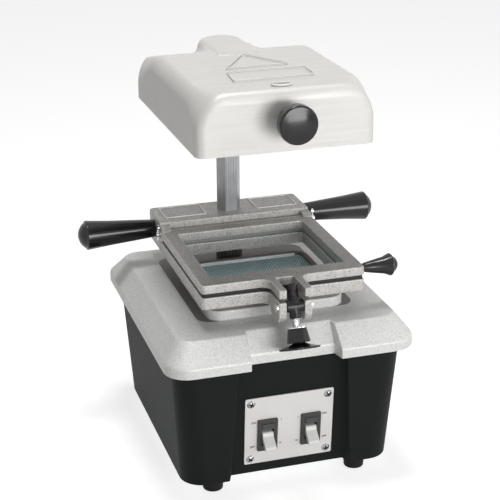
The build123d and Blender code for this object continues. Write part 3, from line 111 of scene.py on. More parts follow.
def vector_maths(tree, operation, first, second=(0.0, 0.0, 0.0), gives="Vector"):
    """One sum on two vectors or sockets."""
    return place(tree, "VectorMath", {"operation": operation}, _0=first, _1=second).outputs[gives]


def seen_directly(tree):
    """1 for the eye, for reflections and through glass, and 0 for the light that falls on things."""
    path = place(tree, "LightPath")
    seen = maths(tree, "MAXIMUM", path.outputs["Is Camera Ray"], path.outputs["Is Glossy Ray"])
    return maths(tree, "MAXIMUM", seen, path.outputs["Is Transmission Ray"])


def soft_lamp(name, spot, width, height, watts):
    """A soft lamp at one point, turned to the machine."""
    lamp = add_object(name, bpy.data.lights.new(name, "AREA"))
    lamp.data.shape = "RECTANGLE"
    lamp.data.size, lamp.data.size_y, lamp.data.energy = width, height, watts
    lamp.location = spot
    lamp.rotation_euler = (LAMPS_AIM - Vector(spot)).to_track_quat("-Z", "Y").to_euler()


room = bpy.data.worlds.new("white_room")
bpy.context.scene.world = room
room.use_nodes = True
sky = room.node_tree.nodes["Background"]
toward = place(room.node_tree, "TexCoord").outputs["Generated"]
sideways = place(room.node_tree, "SeparateXYZ", Vector=toward).outputs["X"]
fill = place(room.node_tree, "MapRange", Value=sideways, From_Min=-1.0, To_Min=ROOM_LEFT,
             To_Max=ROOM_RIGHT).outputs[0]
room_glow = place(room.node_tree, "MapRange", Value=seen_directly(room.node_tree), To_Min=fill, To_Max=1.0)
room.node_tree.links.new(room_glow.outputs[0], sky.inputs["Strength"])
sky.inputs["Color"].default_value = (1, 1, 1, 1)

soft_lamp("main_lamp", (0.38, -1.63, 0.38), 0.8, 0.6, 13)
soft_lamp("right_lamp", (1.5, -0.9, 0.55), 0.6, 0.6, 4)
soft_lamp("strip_lamp", (-1.4, -0.9, 0.6), 0.12, 0.9, 0.5)
soft_lamp("upper_lamp", (-0.05, 0.02, 1.7), 0.4, 0.4, 12)

bench_top = bmesh.new()
bmesh.ops.create_grid(bench_top, x_segments=8, y_segments=8, size=BENCH_HALF)
bench_mesh = bpy.data.meshes.new("bench")
bench_top.to_mesh(bench_mesh)
bench_top.free()
bench = add_object("bench", bench_mesh)
bench_paint = bpy.data.materials.new("bench_paint")
bench_paint.use_nodes = True
bench_tree = bench_paint.node_tree
bench_shader = bench_tree.nodes["Principled BSDF"]
bench_shader.inputs["Base Color"].default_value = BENCH_WHITE
bench_shader.inputs["Roughness"].default_value = 0.8
bench_shader.inputs["Specular IOR Level"].default_value = 0.1
bench_shader.inputs["Emission Color"].default_value = (1, 1, 1, 1)
bench_glow = maths(bench_tree, "MULTIPLY", seen_directly(bench_tree), BENCH_GLOW)
bench_tree.links.new(bench_glow, bench_shader.inputs["Emission Strength"])
bench_mesh.materials.append(bench_paint)
bench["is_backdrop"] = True


# ---------------------------------------------------------------- base tub
# A deep moulded tub with drafted walls and a set-back front panel, finished in fine-textured
# black. A zinc-plated plate closes it below, and its rear wall has air slots and a cable gland.
TUB_EDGE, SLOT_EDGE, REAR_WALL_Y = 1.1, 0.5, 100
TUB_LOW_Z, TUB_HIGH_Z, LONG_EDGE = 14, 120, 60
TUB_BLACK = (0.0070, 0.0090, 0.0083, 1)
TUB_WORN = (0.022, 0.025, 0.024, 1)
ZINC = ((0.46, 0.47, 0.49), (0.55, 0.56, 0.58))


def begin_effect(name, wants, gives):
    """Start a shader node group with named inputs and outputs."""
    effect = bpy.data.node_groups.new(name, "ShaderNodeTree")
    for label, value in wants.items():
        kind = "NodeSocketVector" if isinstance(value, tuple) else "NodeSocketFloat"
        effect.interface.new_socket(label, in_out="INPUT", socket_type=kind).default_value = value
    for label in gives:
        effect.interface.new_socket(label, in_out="OUTPUT", socket_type="NodeSocketFloat")
    return effect, effect.nodes.new("NodeGroupInput").outputs, effect.nodes.new("NodeGroupOutput").inputs


def use_effect(tree, effect, **values):
    """Put a shader node group in a material with that material's own values."""
    node = tree.nodes.new("ShaderNodeGroup")
    node.node_tree = effect
    for name, value in values.items():
        node.inputs[name.replace("_", " ")].default_value = value
    return node.outputs


def begin_finish(name, **fixed):
    """Start a material: its shader, with the values that are the same all over."""
    finish = bpy.data.materials.new(name)
    finish.use_nodes = True
    shader = finish.node_tree.nodes["Principled BSDF"]
    for label, value in fixed.items():
        shader.inputs[label.replace("_", " ")].default_value = value
    return finish, finish.node_tree, shader


def two_tone(tree, mask, low, high):
    """Mix two colours by a mask."""
    return place(tree, "Mix", {"data_type": "RGBA"}, _0=mask, _6=low, _7=high).outputs[2]


def spread(tree, mask, low, high):
    """Spread a mask from 0..1 to other limits."""
    return place(tree, "MapRange", Value=mask, To_Min=low, To_Max=high).outputs[0]


def passed(tree, value, low, high):
    """0 to 1 while a value passes from one limit to the other."""
    return place(tree, "MapRange", Value=value, From_Min=low, From_Max=high).outputs[0]


def mask_of(tree, effect, **values):
    """The first output of an effect."""
    return use_effect(tree, effect, **values)[0]


def marked(tree, name):
    """The part of a mesh that carries a mark of its own."""
    return place(tree, "Attribute", {"attribute_name": name}).outputs["Fac"]


def part_of(tree, socket, axis):
    """One axis of a vector."""
    return place(tree, "SeparateXYZ", Vector=socket).outputs[axis]


def set_colour(tree, shader, mask, low, high):
    """Colour the surface with two colours or sockets, mixed by a mask."""
    tree.links.new(two_tone(tree, mask, low, high), shader.inputs["Base Color"])


def set_roughness(tree, shader, mask, low, high):
    """Make the surface more or less glossy by a mask."""
    tree.links.new(spread(tree, mask, low, high), shader.inputs["Roughness"])


def relief(tree, shader, height, depth):
    """Raise the surface by a height mask, depth in millimetres."""
    bump = place(tree, "Bump", Height=height, Distance=depth * MM, Strength=1.0)
    tree.links.new(bump.outputs[0], shader.inputs["Normal"])


def mottled_finish(name, effect, values, tones, gloss=None, dents=None, **fixed):
    """A finish that one effect takes between two tones and two glosses, with fine dents."""
    finish, tree, shader = begin_finish(name, **fixed)
    mask = mask_of(tree, effect, **values)
    set_colour(tree, shader, mask, *[(*tone, 1) for tone in tones])
    if gloss:
        set_roughness(tree, shader, mask, *gloss)
    if dents:
        size, contrast, depth = dents
        relief(tree, shader, mask_of(tree, grain, Size=size, Contrast=contrast), depth)
    return finish


# Grain: a soft random texture of one size in millimetres, hardened by its contrast
grain, given, result = begin_effect("grain", {"Size": 1.0, "Contrast": 1.0}, ["Mask"])
where = place(grain, "TexCoord")
noise = place(grain, "TexNoise", Vector=where.outputs["Object"], Detail=3.0, Roughness=0.6,
              Scale=maths(grain, "DIVIDE", 1 / MM, given["Size"]))
half_span = maths(grain, "DIVIDE", 0.5, given["Contrast"])
hard = passed(grain, noise.outputs[0], maths(grain, "SUBTRACT", 0.5, half_span), maths(grain, "ADD", 0.5, half_span))
grain.links.new(hard, result["Mask"])

# Flecks: small cells of one size in millimetres, each with its own random tone and a domed middle
flecks, given, result = begin_effect("flecks", {"Size": 1.0}, ["Tone", "Dome"])
where = place(flecks, "TexCoord")
cells = place(flecks, "TexVoronoi", Vector=where.outputs["Object"],
              Scale=maths(flecks, "DIVIDE", 1 / MM, given["Size"]))
tone = place(flecks, "SeparateColor", Color=cells.outputs["Color"])
flecks.links.new(tone.outputs[0], result["Tone"])
flecks.links.new(maths(flecks, "SUBTRACT", 1.0, cells.outputs["Distance"]), result["Dome"])

# Lines: fine brushed or drawn lines, given by how many there are per metre along each axis
lines, given, result = begin_effect("lines", {"Per Metre": (30.0, 30.0, 1500.0)}, ["Mask"])
where = place(lines, "TexCoord")
stretched = vector_maths(lines, "MULTIPLY", where.outputs["Object"], given["Per Metre"])
noise = place(lines, "TexNoise", Vector=stretched, Scale=1.0, Detail=2.0)
lines.links.new(passed(lines, noise.outputs[0], 0.3, 0.7), result["Mask"])

# Wear: rubbed edges, broken up by a grain of its own, from the mark that rounded edges carry
wear, given, result = begin_effect("wear", {"Size": 1.5, "Amount": 1.0}, ["Mask"])
patches = wear.nodes.new("ShaderNodeGroup")
patches.node_tree = grain
patches.inputs["Contrast"].default_value = 2.2
wear.links.new(given["Size"], patches.inputs["Size"])
wear_and_painted_highlight = maths(wear, "MULTIPLY", marked(wear, "edge"), patches.outputs[0])
wear.links.new(maths(wear, "MULTIPLY", wear_and_painted_highlight, given["Amount"]), result["Mask"])


def set_finish(piece, finish):
    """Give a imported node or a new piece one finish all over."""
    piece.data.materials.clear()
    piece.data.materials.append(finish)


def new_piece(name, form, finish, body, slot, *stands_for, sharp=32):
    """Turn a mesh in millimetres or metres into a finished piece that rides on a body."""
    mesh = bpy.data.meshes.new(name)
    form.to_mesh(mesh)
    form.free()
    piece = add_object(name, mesh)
    mesh.shade_smooth()
    mesh.set_sharp_from_angle(angle=radians(sharp))
    set_finish(piece, finish)
    steady = piece.modifiers.new("even_shading", "WEIGHTED_NORMAL")
    steady.keep_sharp = True
    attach(piece, body)
    if stands_for:
        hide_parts(*stands_for)
    return piece


def soften(form, width, chosen=lambda edge: True, hollow=False, from_angle=24, steps=3):
    """Round the crisp edges of a mesh that are chosen, and mark the outward rounds as edge."""
    mark = form.verts.layers.float.get("edge") or form.verts.layers.float.new("edge")
    crisp = [edge for edge in form.edges if len(edge.link_faces) == 2
             and edge.calc_face_angle() > radians(from_angle) and edge.is_convex != hollow and chosen(edge)]
    made = bmesh.ops.bevel(form, geom=crisp, offset=width * MM, offset_type="OFFSET", segments=steps,
                           profile=0.5, affect="EDGES", clamp_overlap=False, loop_slide=True)
    round_faces = set(made["faces"])
    for vert in made["verts"]:
        if not hollow and all(face in round_faces for face in vert.link_faces):
            vert[mark] = 1.0


def packed_form(node):
    """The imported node's own form, with its flat faces made whole again."""
    form = bmesh.new()
    form.from_mesh(nodes[node].data)
    bmesh.ops.remove_doubles(form, verts=form.verts, dist=2e-6)
    bmesh.ops.dissolve_limit(form, angle_limit=radians(0.25), verts=form.verts, edges=form.edges)
    return form


def middle(edge):
    """The middle of an edge, in millimetres."""
    return (edge.verts[0].co + edge.verts[1].co) / (2 * MM)


def rise(edge):
    """How far an edge climbs, in millimetres."""
    return abs(edge.verts[0].co.z - edge.verts[1].co.z) / MM


def cuboid(middle_at, size):
    """A plain block round its middle, both in millimetres."""
    form = bmesh.new()
    bmesh.ops.create_cube(form, size=MM)
    for vert in form.verts:
        vert.co = vert.co * Vector(size) + Vector(middle_at) * MM
    return form


def rounded_node(node, name, finish, body, slot, *rounds):
    """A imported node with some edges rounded, by (width, chosen edges), as a piece that stands for it."""
    form = packed_form(node)
    for chosen_round in rounds:
        soften(form, *chosen_round)
    new_piece(name, form, finish, body, slot, node)


tub_texture, tree, shader = begin_finish("textured_black", Specular_IOR_Level=0.12)
wear_and_painted_highlight = mask_of(tree, wear, Size=2.5, Amount=0.5)
set_colour(tree, shader, wear_and_painted_highlight, TUB_BLACK, TUB_WORN)
pebble = use_effect(tree, flecks, Size=0.9)
fine = mask_of(tree, grain, Size=0.5, Contrast=1.6)
set_roughness(tree, shader, fine, 0.5, 0.72)
relief(tree, shader, maths(tree, "ADD", pebble["Dome"], fine), 0.05)

rounded_node("tub", "base_tub", tub_texture, "base", "textured_black",
             (TUB_EDGE, lambda edge: TUB_LOW_Z < middle(edge).z < TUB_HIGH_Z and edge.calc_length() > LONG_EDGE * MM),
             (SLOT_EDGE, lambda edge: middle(edge).y > REAR_WALL_Y))

zinc_plate = mottled_finish("zinc_plate", flecks, {"Size": 7.0}, ZINC, (0.32, 0.46), Metallic=1.0)
for node in ("bottom_plate", "post_washer", "post_nut"):
    set_finish(nodes[node], zinc_plate)


# ---------------------------------------------------------------- feet and gland
# Four rubber feet are moulded on steel screws that run up into the tub's bosses. The gland is a
# plain black nylon bush with a lead-in round its mouth.
FOOT_PLACES = [(x, y) for y in (-89, 89) for x in (-63.5, 63.5)]
FOOT_RADIUS, FOOT_HEIGHT, FOOT_TAPER, FOOT_ROUND, FOOT_COLLAR = 9.25, 12.7, 0.7, 1.2, 1.6
RUBBER = ((0.008, 0.008, 0.008), (0.024, 0.023, 0.022))
PLATED = ((0.62, 0.63, 0.64), (0.80, 0.81, 0.82))
NYLON = ((0.012, 0.012, 0.013), (0.022, 0.022, 0.023))


def bend(run, radius, size, start, end, steps=6):
    """Points of an arc in a turned profile, as (run along the axis, radius) pairs."""
    return [(run + size * cos(radians(start + (end - start) * step / steps)),
             radius + size * sin(radians(start + (end - start) * step / steps))) for step in range(steps + 1)]


def skin(form, rings, capped=False):
    """Join rings of points with faces, one to the next, and close both ends if they are capped."""
    for lower, upper in zip(rings, rings[1:]):
        around = max(len(lower), len(upper))
        for turn in range(around):
            follow = turn + 1
            corners = [lower[turn % len(lower)], lower[follow % len(lower)],
                       upper[follow % len(upper)], upper[turn % len(upper)]]
            form.faces.new(list(dict.fromkeys(corners)))
    if capped:
        form.faces.new(rings[0])
        form.faces.new(rings[-1])


def turned(foot, along, profile, around=72):
    """Turn a profile of (run, radius) pairs in millimetres round an axis that starts at foot."""
    axis = Vector(along).normalized()
    side = axis.orthogonal().normalized()
    other = axis.cross(side)
    form = bmesh.new()
    rings = []
    for run, radius in profile:
        centre = Vector(foot) + axis * run
        if radius < 1e-6:
            rings.append([form.verts.new(centre * MM)])
            continue
        rings.append([form.verts.new((centre + radius * (cos(2 * pi * turn / around) * side
                                                         + sin(2 * pi * turn / around) * other)) * MM)
                      for turn in range(around)])
    skin(form, rings)
    bmesh.ops.recalc_face_normals(form, faces=form.faces)
    return form


rubber = mottled_finish("black_rubber", grain, {"Size": 6.0, "Contrast": 2.0}, RUBBER, (0.62, 0.82),
                        (0.6, 1.5, 0.03), Specular_IOR_Level=0.15)

for number, (x, y) in enumerate(FOOT_PLACES, start=1):
    tread = FOOT_RADIUS - FOOT_TAPER
    outline = ([(0, 0), (0, tread - FOOT_ROUND)] + bend(FOOT_ROUND, tread - FOOT_ROUND, FOOT_ROUND, 180, 90)
               + [(FOOT_HEIGHT - FOOT_COLLAR, FOOT_RADIUS), (FOOT_HEIGHT, FOOT_RADIUS), (FOOT_HEIGHT, 0)])
    new_piece(f"rubber_foot_{number}", turned((x, y, 0), (0, 0, 1), outline), rubber, "base",
              "black_rubber", f"foot_{number}")
set_finish(nodes["blower_gasket"], rubber)

plated = mottled_finish("bright_plated", grain, {"Size": 2.0, "Contrast": 1.8}, PLATED, (0.10, 0.26), Metallic=1.0)
for number in range(1, 5):
    set_finish(nodes[f"foot_screw_{number}"], plated)
    set_finish(nodes[f"cover_screw_{number}"], plated)

nylon = mottled_finish("black_nylon", grain, {"Size": 3.0, "Contrast": 1.8}, NYLON, (0.38, 0.55), (0.7, 1.4, 0.02))
rounded_node("cord_gland", "nylon_gland", nylon, "base", "black_plastic", (0.35,))


# ---------------------------------------------------------------- cover
# One aluminium casting in silver hammertone enamel: an upright band round the rim, sloping sides,
# a notch at the front that clears the clamp's knob, and the raised platform of the vacuum well.
# The level top behind and beside the platform takes the seal's dark grey as painted shade, for the shadow that the
# hood and frames throw there.
COVER_TOP_Z, BAND_TOP_Z, PLATFORM_TOP_Z = 144.8, 128.0, 153.2
WORK_Y, WELL_HALF_WIDE, WELL_HALF_DEEP = -19.3, 55, 49.5
NOTCH_INNER, NOTCH_OUTER, NOTCH_Y, RIM_REACH = 33, 44, -95, 80
LEVEL, STEEP = 0.1, 5
ENAMEL_LIGHT = (0.78, 0.78, 0.765, 1)
ENAMEL_DARK = (0.52, 0.52, 0.51, 1)
# The seal's grey, also painted on the cover's level top as painted shade; the next line gives that rounded area.
SEAL_AND_SHADE_GREY = (0.165, 0.15, 0.135, 1)
SHADE_MIDDLE_Y, SHADE_HALF_WIDE, SHADE_HALF_DEEP, SHADE_CORNER = 3.5, 68.0, 76.5, 12.0

hammertone, tree, shader = begin_finish("silver_hammertone", Metallic=0.12, Specular_IOR_Level=0.4)
spots = use_effect(tree, flecks, Size=0.9)
pools = mask_of(tree, grain, Size=1.3, Contrast=2.2)
mottle = maths(tree, "MULTIPLY", spots["Tone"], pools)
silver = two_tone(tree, mottle, ENAMEL_LIGHT, ENAMEL_DARK)
where = place(tree, "TexCoord")
facing_up = part_of(tree, where.outputs["Normal"], "Z")
# Painted shade: the level top inside a rounded rectangle round the platform and post is coloured dark grey.
offset = vector_maths(tree, "ADD", where.outputs["Object"], (0.0, -SHADE_MIDDLE_Y * MM, 0.0))
beyond = vector_maths(tree, "SUBTRACT", vector_maths(tree, "ABSOLUTE", offset),
                      ((SHADE_HALF_WIDE - SHADE_CORNER) * MM, (SHADE_HALF_DEEP - SHADE_CORNER) * MM, 1.0))
away = vector_maths(tree, "LENGTH", vector_maths(tree, "MAXIMUM", beyond), gives="Value")
on_top = passed(tree, facing_up, 0.93, 0.98)
painted_shade = maths(tree, "MULTIPLY", maths(tree, "LESS_THAN", away, SHADE_CORNER * MM), on_top)
set_colour(tree, shader, painted_shade, silver, SEAL_AND_SHADE_GREY)
set_roughness(tree, shader, pools, 0.36, 0.52)
relief(tree, shader, maths(tree, "ADD", pools, spots["Dome"]), 0.06)

rounded_node("cover", "hammertone_cover", hammertone, "base", "hammertone_silver",
             (1.3, lambda edge: abs(middle(edge).z - COVER_TOP_Z) < 0.3 and hypot(*middle(edge).xy) > RIM_REACH
              and rise(edge) < LEVEL),
             (1.4, lambda edge: abs(middle(edge).z - BAND_TOP_Z) < 0.3 and rise(edge) < LEVEL),
             (1.6, lambda edge: abs(middle(edge).z - PLATFORM_TOP_Z) < 0.2
              and max(abs(middle(edge).x) - WELL_HALF_WIDE, abs(middle(edge).y - WORK_Y) - WELL_HALF_DEEP) > 0),
             (0.9, lambda edge: NOTCH_INNER < abs(middle(edge).x) < NOTCH_OUTER and middle(edge).y < NOTCH_Y
              and rise(edge) > STEEP))


# ---------------------------------------------------------------- platen and its seal
# A sheet of blue-grey enamelled steel with fine staggered holes lies over the vacuum well. A thin pale strip along
# its rear edge and its pale rear margin are painted highlight. Round it is a ring of dark grey silicone rubber that
# the frames press on.
PLATEN_WIDE, PLATEN_DEEP, PLATEN_CORNER = 108.0, 98.0, 5.0
PLATEN_TOP_Z, PLATEN_THICK, PLATEN_MARGIN = 154.0, 2.6, 3.0
HOLE_PITCH, HOLE_RADIUS, HOLE_SIDES, HOLE_LEAN = 2.5, 0.55, 8, radians(60)
ROW_PITCH = HOLE_PITCH * sin(HOLE_LEAN)
HOLE_COLUMNS = int((PLATEN_WIDE - 2 * PLATEN_MARGIN) / HOLE_PITCH) - 1
HOLE_ROWS = int((PLATEN_DEEP - 2 * PLATEN_MARGIN) / ROW_PITCH)
HOLES_LEFT, HOLES_NEAR = -(HOLE_COLUMNS + 1) * HOLE_PITCH / 2, WORK_Y - HOLE_ROWS * ROW_PITCH / 2
PLATEN_BLUE = (0.32, 0.55, 0.61, 1)
PLATEN_PALE = (0.92, 0.98, 1.0, 1)
PLATEN_RIMS = ((0.0, 0.6), (0.18, 0.18), (0.6, 0.0), (PLATEN_THICK, 0.0))
# The size and lift of a thin pale strip, a painted highlight along the platen's rear edge, and its colours below.
HIGHLIGHT_STRIP_SIZE, HIGHLIGHT_STRIP_LIFT = (PLATEN_WIDE - 2 * PLATEN_CORNER, 0.5, 2.4), 0.1
HIGHLIGHT_STRIP_TONES = ((0.92, 0.94, 0.93), (0.74, 0.77, 0.77))
SILICONE = (SEAL_AND_SHADE_GREY[:3], (0.22, 0.205, 0.19))


def rounded_plan(width, depth, corner, steps=6):
    """Corner points of a rounded rectangle round the work's middle, in millimetres."""
    points = []
    for quarter, (sx, sy) in enumerate(((1, 1), (-1, 1), (-1, -1), (1, -1))):
        for step in range(steps + 1):
            turn = radians(90 * quarter + 90 * step / steps)
            points.append((sx * (width / 2 - corner) + corner * cos(turn),
                           sy * (depth / 2 - corner) + corner * sin(turn)))
    return points


def perforated_sheet():
    """The sheet as cells of one hole each, with a plain margin and edge round them."""
    form = bmesh.new()
    highlit_rim = form.verts.layers.float.new("edge")
    top, base = PLATEN_TOP_Z * MM, (PLATEN_TOP_Z - PLATEN_THICK) * MM
    corner = {}

    def knot(i, j):
        if (i, j) not in corner:
            corner[i, j] = form.verts.new(((HOLES_LEFT + (i + j / 2) * HOLE_PITCH) * MM,
                                           (HOLES_NEAR + j * ROW_PITCH) * MM, top))
        return corner[i, j]

    first_in = [-(row // 2) for row in range(HOLE_ROWS)]
    for j, first in enumerate(first_in):
        for i in range(first, first + HOLE_COLUMNS):
            centre = (knot(i, j).co + knot(i + 1, j + 1).co) / 2
            ring = [form.verts.new(centre + HOLE_RADIUS * MM * Vector((cos(turn), sin(turn), 0)))
                    for turn in (radians(30) + step * 2 * pi / HOLE_SIDES for step in range(HOLE_SIDES))]
            well = [form.verts.new((vert.co.x, vert.co.y, base)) for vert in ring]
            outer = [knot(i + 1, j + 1), knot(i, j + 1), knot(i, j), knot(i + 1, j)]
            for side in range(4):
                near, far = 2 * side, (2 * side + 2) % HOLE_SIDES
                form.faces.new((outer[side], outer[(side + 1) % 4], ring[far], ring[near + 1], ring[near]))
            skin(form, (ring, well))
    # The plain margin, from the last cells out to the rounded edge and down
    border = [knot(i, 0) for i in range(first_in[0], first_in[0] + HOLE_COLUMNS + 1)]
    for j, first in enumerate(first_in):
        border.append(knot(first + HOLE_COLUMNS, j + 1))
        if j + 1 < HOLE_ROWS and first_in[j + 1] != first:
            border.append(knot(first_in[j + 1] + HOLE_COLUMNS, j + 1))
    border += [knot(i, HOLE_ROWS) for i in range(first_in[-1] + HOLE_COLUMNS - 1, first_in[-1] - 1, -1)]
    for j in range(HOLE_ROWS - 1, 0, -1):
        border.append(knot(first_in[j], j))
        if first_in[j - 1] != first_in[j]:
            border.append(knot(first_in[j - 1], j))
    rims = []
    for drop, draw in PLATEN_RIMS:
        plan = rounded_plan(PLATEN_WIDE - 2 * draw, PLATEN_DEEP - 2 * draw, PLATEN_CORNER - draw)
        rims.append([form.verts.new((x * MM, (WORK_Y + y) * MM, (PLATEN_TOP_Z - drop) * MM)) for x, y in plan])
    skin(form, rims)
    edges = [form.edges.get((a, b)) for ring in (border, rims[0]) for a, b in zip(ring, ring[1:] + ring[:1])]
    bmesh.ops.triangle_fill(form, edges=edges, use_beauty=True, normal=(0, 0, 1))
    bmesh.ops.recalc_face_normals(form, faces=form.faces)
    # Painted highlight: the rear margin is marked to be coloured pale, for the bright line along the rear edge.
    for vert in form.verts:
        if vert.co.y > (HOLES_NEAR + (HOLE_ROWS - 0.1) * ROW_PITCH) * MM:
            vert[highlit_rim] = 1.0
    return form


# The sheet is linished along its slanting rows of holes, which leaves pale lines between them
blue_sheet, tree, shader = begin_finish("blue_platen", Metallic=0.4)
first_hole = (HOLES_LEFT * MM, HOLES_NEAR * MM, 0.0)
where = vector_maths(tree, "SUBTRACT", place(tree, "TexCoord").outputs["Object"], first_hole)
over_rows = (sin(HOLE_LEAN) / (ROW_PITCH * MM), -cos(HOLE_LEAN) / (ROW_PITCH * MM), 0.0)
rows_passed = vector_maths(tree, "DOT_PRODUCT", where, over_rows, "Value")
swing = maths(tree, "COSINE", maths(tree, "MULTIPLY", rows_passed, 2 * pi))
hatch = passed(tree, swing, -0.6, 0.9)
uneven = spread(tree, mask_of(tree, grain, Size=6.0, Contrast=2.0), 0.35, 1.0)
# Painted highlight: the marked rear margin is coloured pale as well.
wear_and_painted_highlight = marked(tree, "edge")
pale = maths(tree, "MAXIMUM", maths(tree, "MULTIPLY", hatch, uneven), wear_and_painted_highlight)
set_colour(tree, shader, pale, PLATEN_BLUE, PLATEN_PALE)
set_roughness(tree, shader, uneven, 0.28, 0.45)
new_piece("perforated_platen", perforated_sheet(), blue_sheet, "base", "platen_blue", "platen")

# Painted highlight: a thin pale strip along the rear edge, for the bright line that light makes there.
highlight_strip_middle = (0, WORK_Y + PLATEN_DEEP / 2 + HIGHLIGHT_STRIP_SIZE[1] / 2, PLATEN_TOP_Z + HIGHLIGHT_STRIP_LIFT)
highlight_strip_finish = mottled_finish("painted_highlight_strip", lines, {"Per_Metre": (30.0, 900.0, 1500.0)}, HIGHLIGHT_STRIP_TONES,
                            (0.22, 0.4), Metallic=0.3)
new_piece("platen_rear_highlight", cuboid(highlight_strip_middle, HIGHLIGHT_STRIP_SIZE), highlight_strip_finish, "base", "platen_blue")

silicone = mottled_finish("grey_silicone", grain, {"Size": 4.0, "Contrast": 1.8}, SILICONE,
                          dents=(0.8, 1.4, 0.03), Roughness=0.4, Specular_IOR_Level=0.4)
rounded_node("platen_seal", "silicone_seal", silicone, "base", "seal_grey", (0.8,))


# ---------------------------------------------------------------- blower
# The blower hangs under the well on a rubber gasket: a pressed housing in grey enamel and a black
# motor can below it.
BLOWER_GREY = ((0.24, 0.25, 0.26), (0.31, 0.32, 0.33))
MOTOR_DARK = ((0.05, 0.05, 0.05), (0.09, 0.09, 0.09))

for node, name, tones in (("blower_housing", "blower_grey", BLOWER_GREY), ("blower_motor", "motor_dark", MOTOR_DARK)):
    set_finish(nodes[node], mottled_finish(name, grain, {"Size": 5.0, "Contrast": 1.6}, tones, (0.38, 0.55),
                                           Metallic=0.2))


# ---------------------------------------------------------------- post and stop collar
# A drawn hexagonal steel bar stands on the cover and carries the slide and the heater. A ribbed
# collar of worn nylon at its foot stops the slide.
STEEL_PALE, STEEL_STAINED = (0.37, 0.38, 0.395, 1), (0.22, 0.215, 0.21, 1)
WORN_NYLON = ((0.08, 0.077, 0.075), (0.20, 0.195, 0.185))
POST_BARE_Z = 150

post_steel, tree, shader = begin_finish("drawn_steel", Metallic=0.6)
drawn = mask_of(tree, lines, Per_Metre=(1600.0, 1600.0, 9.0))
stain = mask_of(tree, grain, Size=14.0, Contrast=2.2)
streak = maths(tree, "MULTIPLY", drawn, stain)
set_colour(tree, shader, streak, STEEL_PALE, STEEL_STAINED)
set_roughness(tree, shader, drawn, 0.24, 0.42)
relief(tree, shader, drawn, 0.015)
rounded_node("post", "hex_post", post_steel, "base", "post_steel", (0.45, lambda edge: middle(edge).z > POST_BARE_Z))

worn_nylon = mottled_finish("worn_nylon", grain, {"Size": 2.5, "Contrast": 2.0}, WORN_NYLON, (0.32, 0.5),
                            Specular_IOR_Level=0.5)
rounded_node("stop_collar", "ribbed_collar", worn_nylon, "base", "black_plastic",
             (0.35, lambda edge: rise(edge) < LEVEL))


# ---------------------------------------------------------------- frames and slide block
# Raw aluminium castings, tumbled but not machined, with rubbed bright edges. The slide block runs
# on the post, the lower frame is screwed to it, and the upper frame is hinged on a steel rod and
# holds a black rubber gasket whose inner lip is grey with powder.
CASTING_MID = (0.58, 0.565, 0.54, 1)
CASTING_DARK = (0.14, 0.135, 0.125, 1)
CASTING_BRIGHT = (0.90, 0.89, 0.865, 1)
# A darker tone painted on the frames' up-facing tops as painted shade.
CASTING_TOP_SHADE = (0.40, 0.39, 0.37, 1)
BLOCK_TOP_Z, BLOCK_FRONT_Y, RIB_WEAR, EAR_X = 190.1, 44.0, 2.5, 30
LOWER_LUGS_Y, LOWER_REAR_Y, LUG_HALF, UPPER_REAR_Y = -113, 51.8, 2.2, 43
GASKET_LIP_X, GASKET_LIP_Y = 60.0, 55.5
GASKET_BLACK = (0.02, 0.02, 0.021, 1)
POWDER_PALE, POWDER_DARK = (0.40, 0.42, 0.40, 1), (0.22, 0.235, 0.225, 1)

raw_casting, tree, shader = begin_finish("raw_casting", Metallic=0.25)
pits = use_effect(tree, flecks, Size=0.95)
sand = mask_of(tree, grain, Size=1.2, Contrast=3.6)
cloudy = spread(tree, mask_of(tree, grain, Size=3.2, Contrast=2.6), 0.45, 1.0)
mottle = maths(tree, "MULTIPLY", maths(tree, "MULTIPLY", pits["Tone"], sand), cloudy)
where = place(tree, "TexCoord")
# Painted shade: up-facing tops in front of the slide block are darker, for the hood's shadow on the frames.
forward = part_of(tree, where.outputs["Object"], "Y")
facing_up = part_of(tree, where.outputs["Normal"], "Z")
on_top = passed(tree, facing_up, 0.5, 0.95)
shaded_tops = maths(tree, "MULTIPLY", maths(tree, "LESS_THAN", forward, BLOCK_FRONT_Y * MM), on_top)
top_shaded_tone = two_tone(tree, shaded_tops, CASTING_MID, CASTING_TOP_SHADE)
mottled = two_tone(tree, mottle, top_shaded_tone, CASTING_DARK)
wear_and_painted_highlight = mask_of(tree, wear, Size=1.6, Amount=0.85)
set_colour(tree, shader, wear_and_painted_highlight, mottled, CASTING_BRIGHT)
set_roughness(tree, shader, sand, 0.36, 0.55)
relief(tree, shader, maths(tree, "ADD", sand, pits["Dome"]), 0.09)

form = packed_form("slide_block")
soften(form, 0.3, lambda edge: middle(edge).z > BLOCK_TOP_Z + 0.1)
soften(form, 0.7, lambda edge: middle(edge).z < BLOCK_TOP_Z - 0.2 and abs(middle(edge).x) > EAR_X)
rubbed_rib = form.verts.layers.float["edge"]
for vert in form.verts:
    if vert.co.z > (BLOCK_TOP_Z + 0.3) * MM:
        vert[rubbed_rib] = RIB_WEAR
new_piece("cast_slide_block", form, raw_casting, "carriage", "raw_casting", "slide_block")
rounded_node("lower_frame", "cast_lower_frame", raw_casting, "carriage", "raw_casting",
             (1.1, lambda edge: middle(edge).y < LOWER_REAR_Y and abs(middle(edge).y - LOWER_LUGS_Y) > LUG_HALF))
rounded_node("upper_frame", "cast_upper_frame", raw_casting, "upper", "raw_casting",
             (1.1, lambda edge: middle(edge).y < UPPER_REAR_Y))

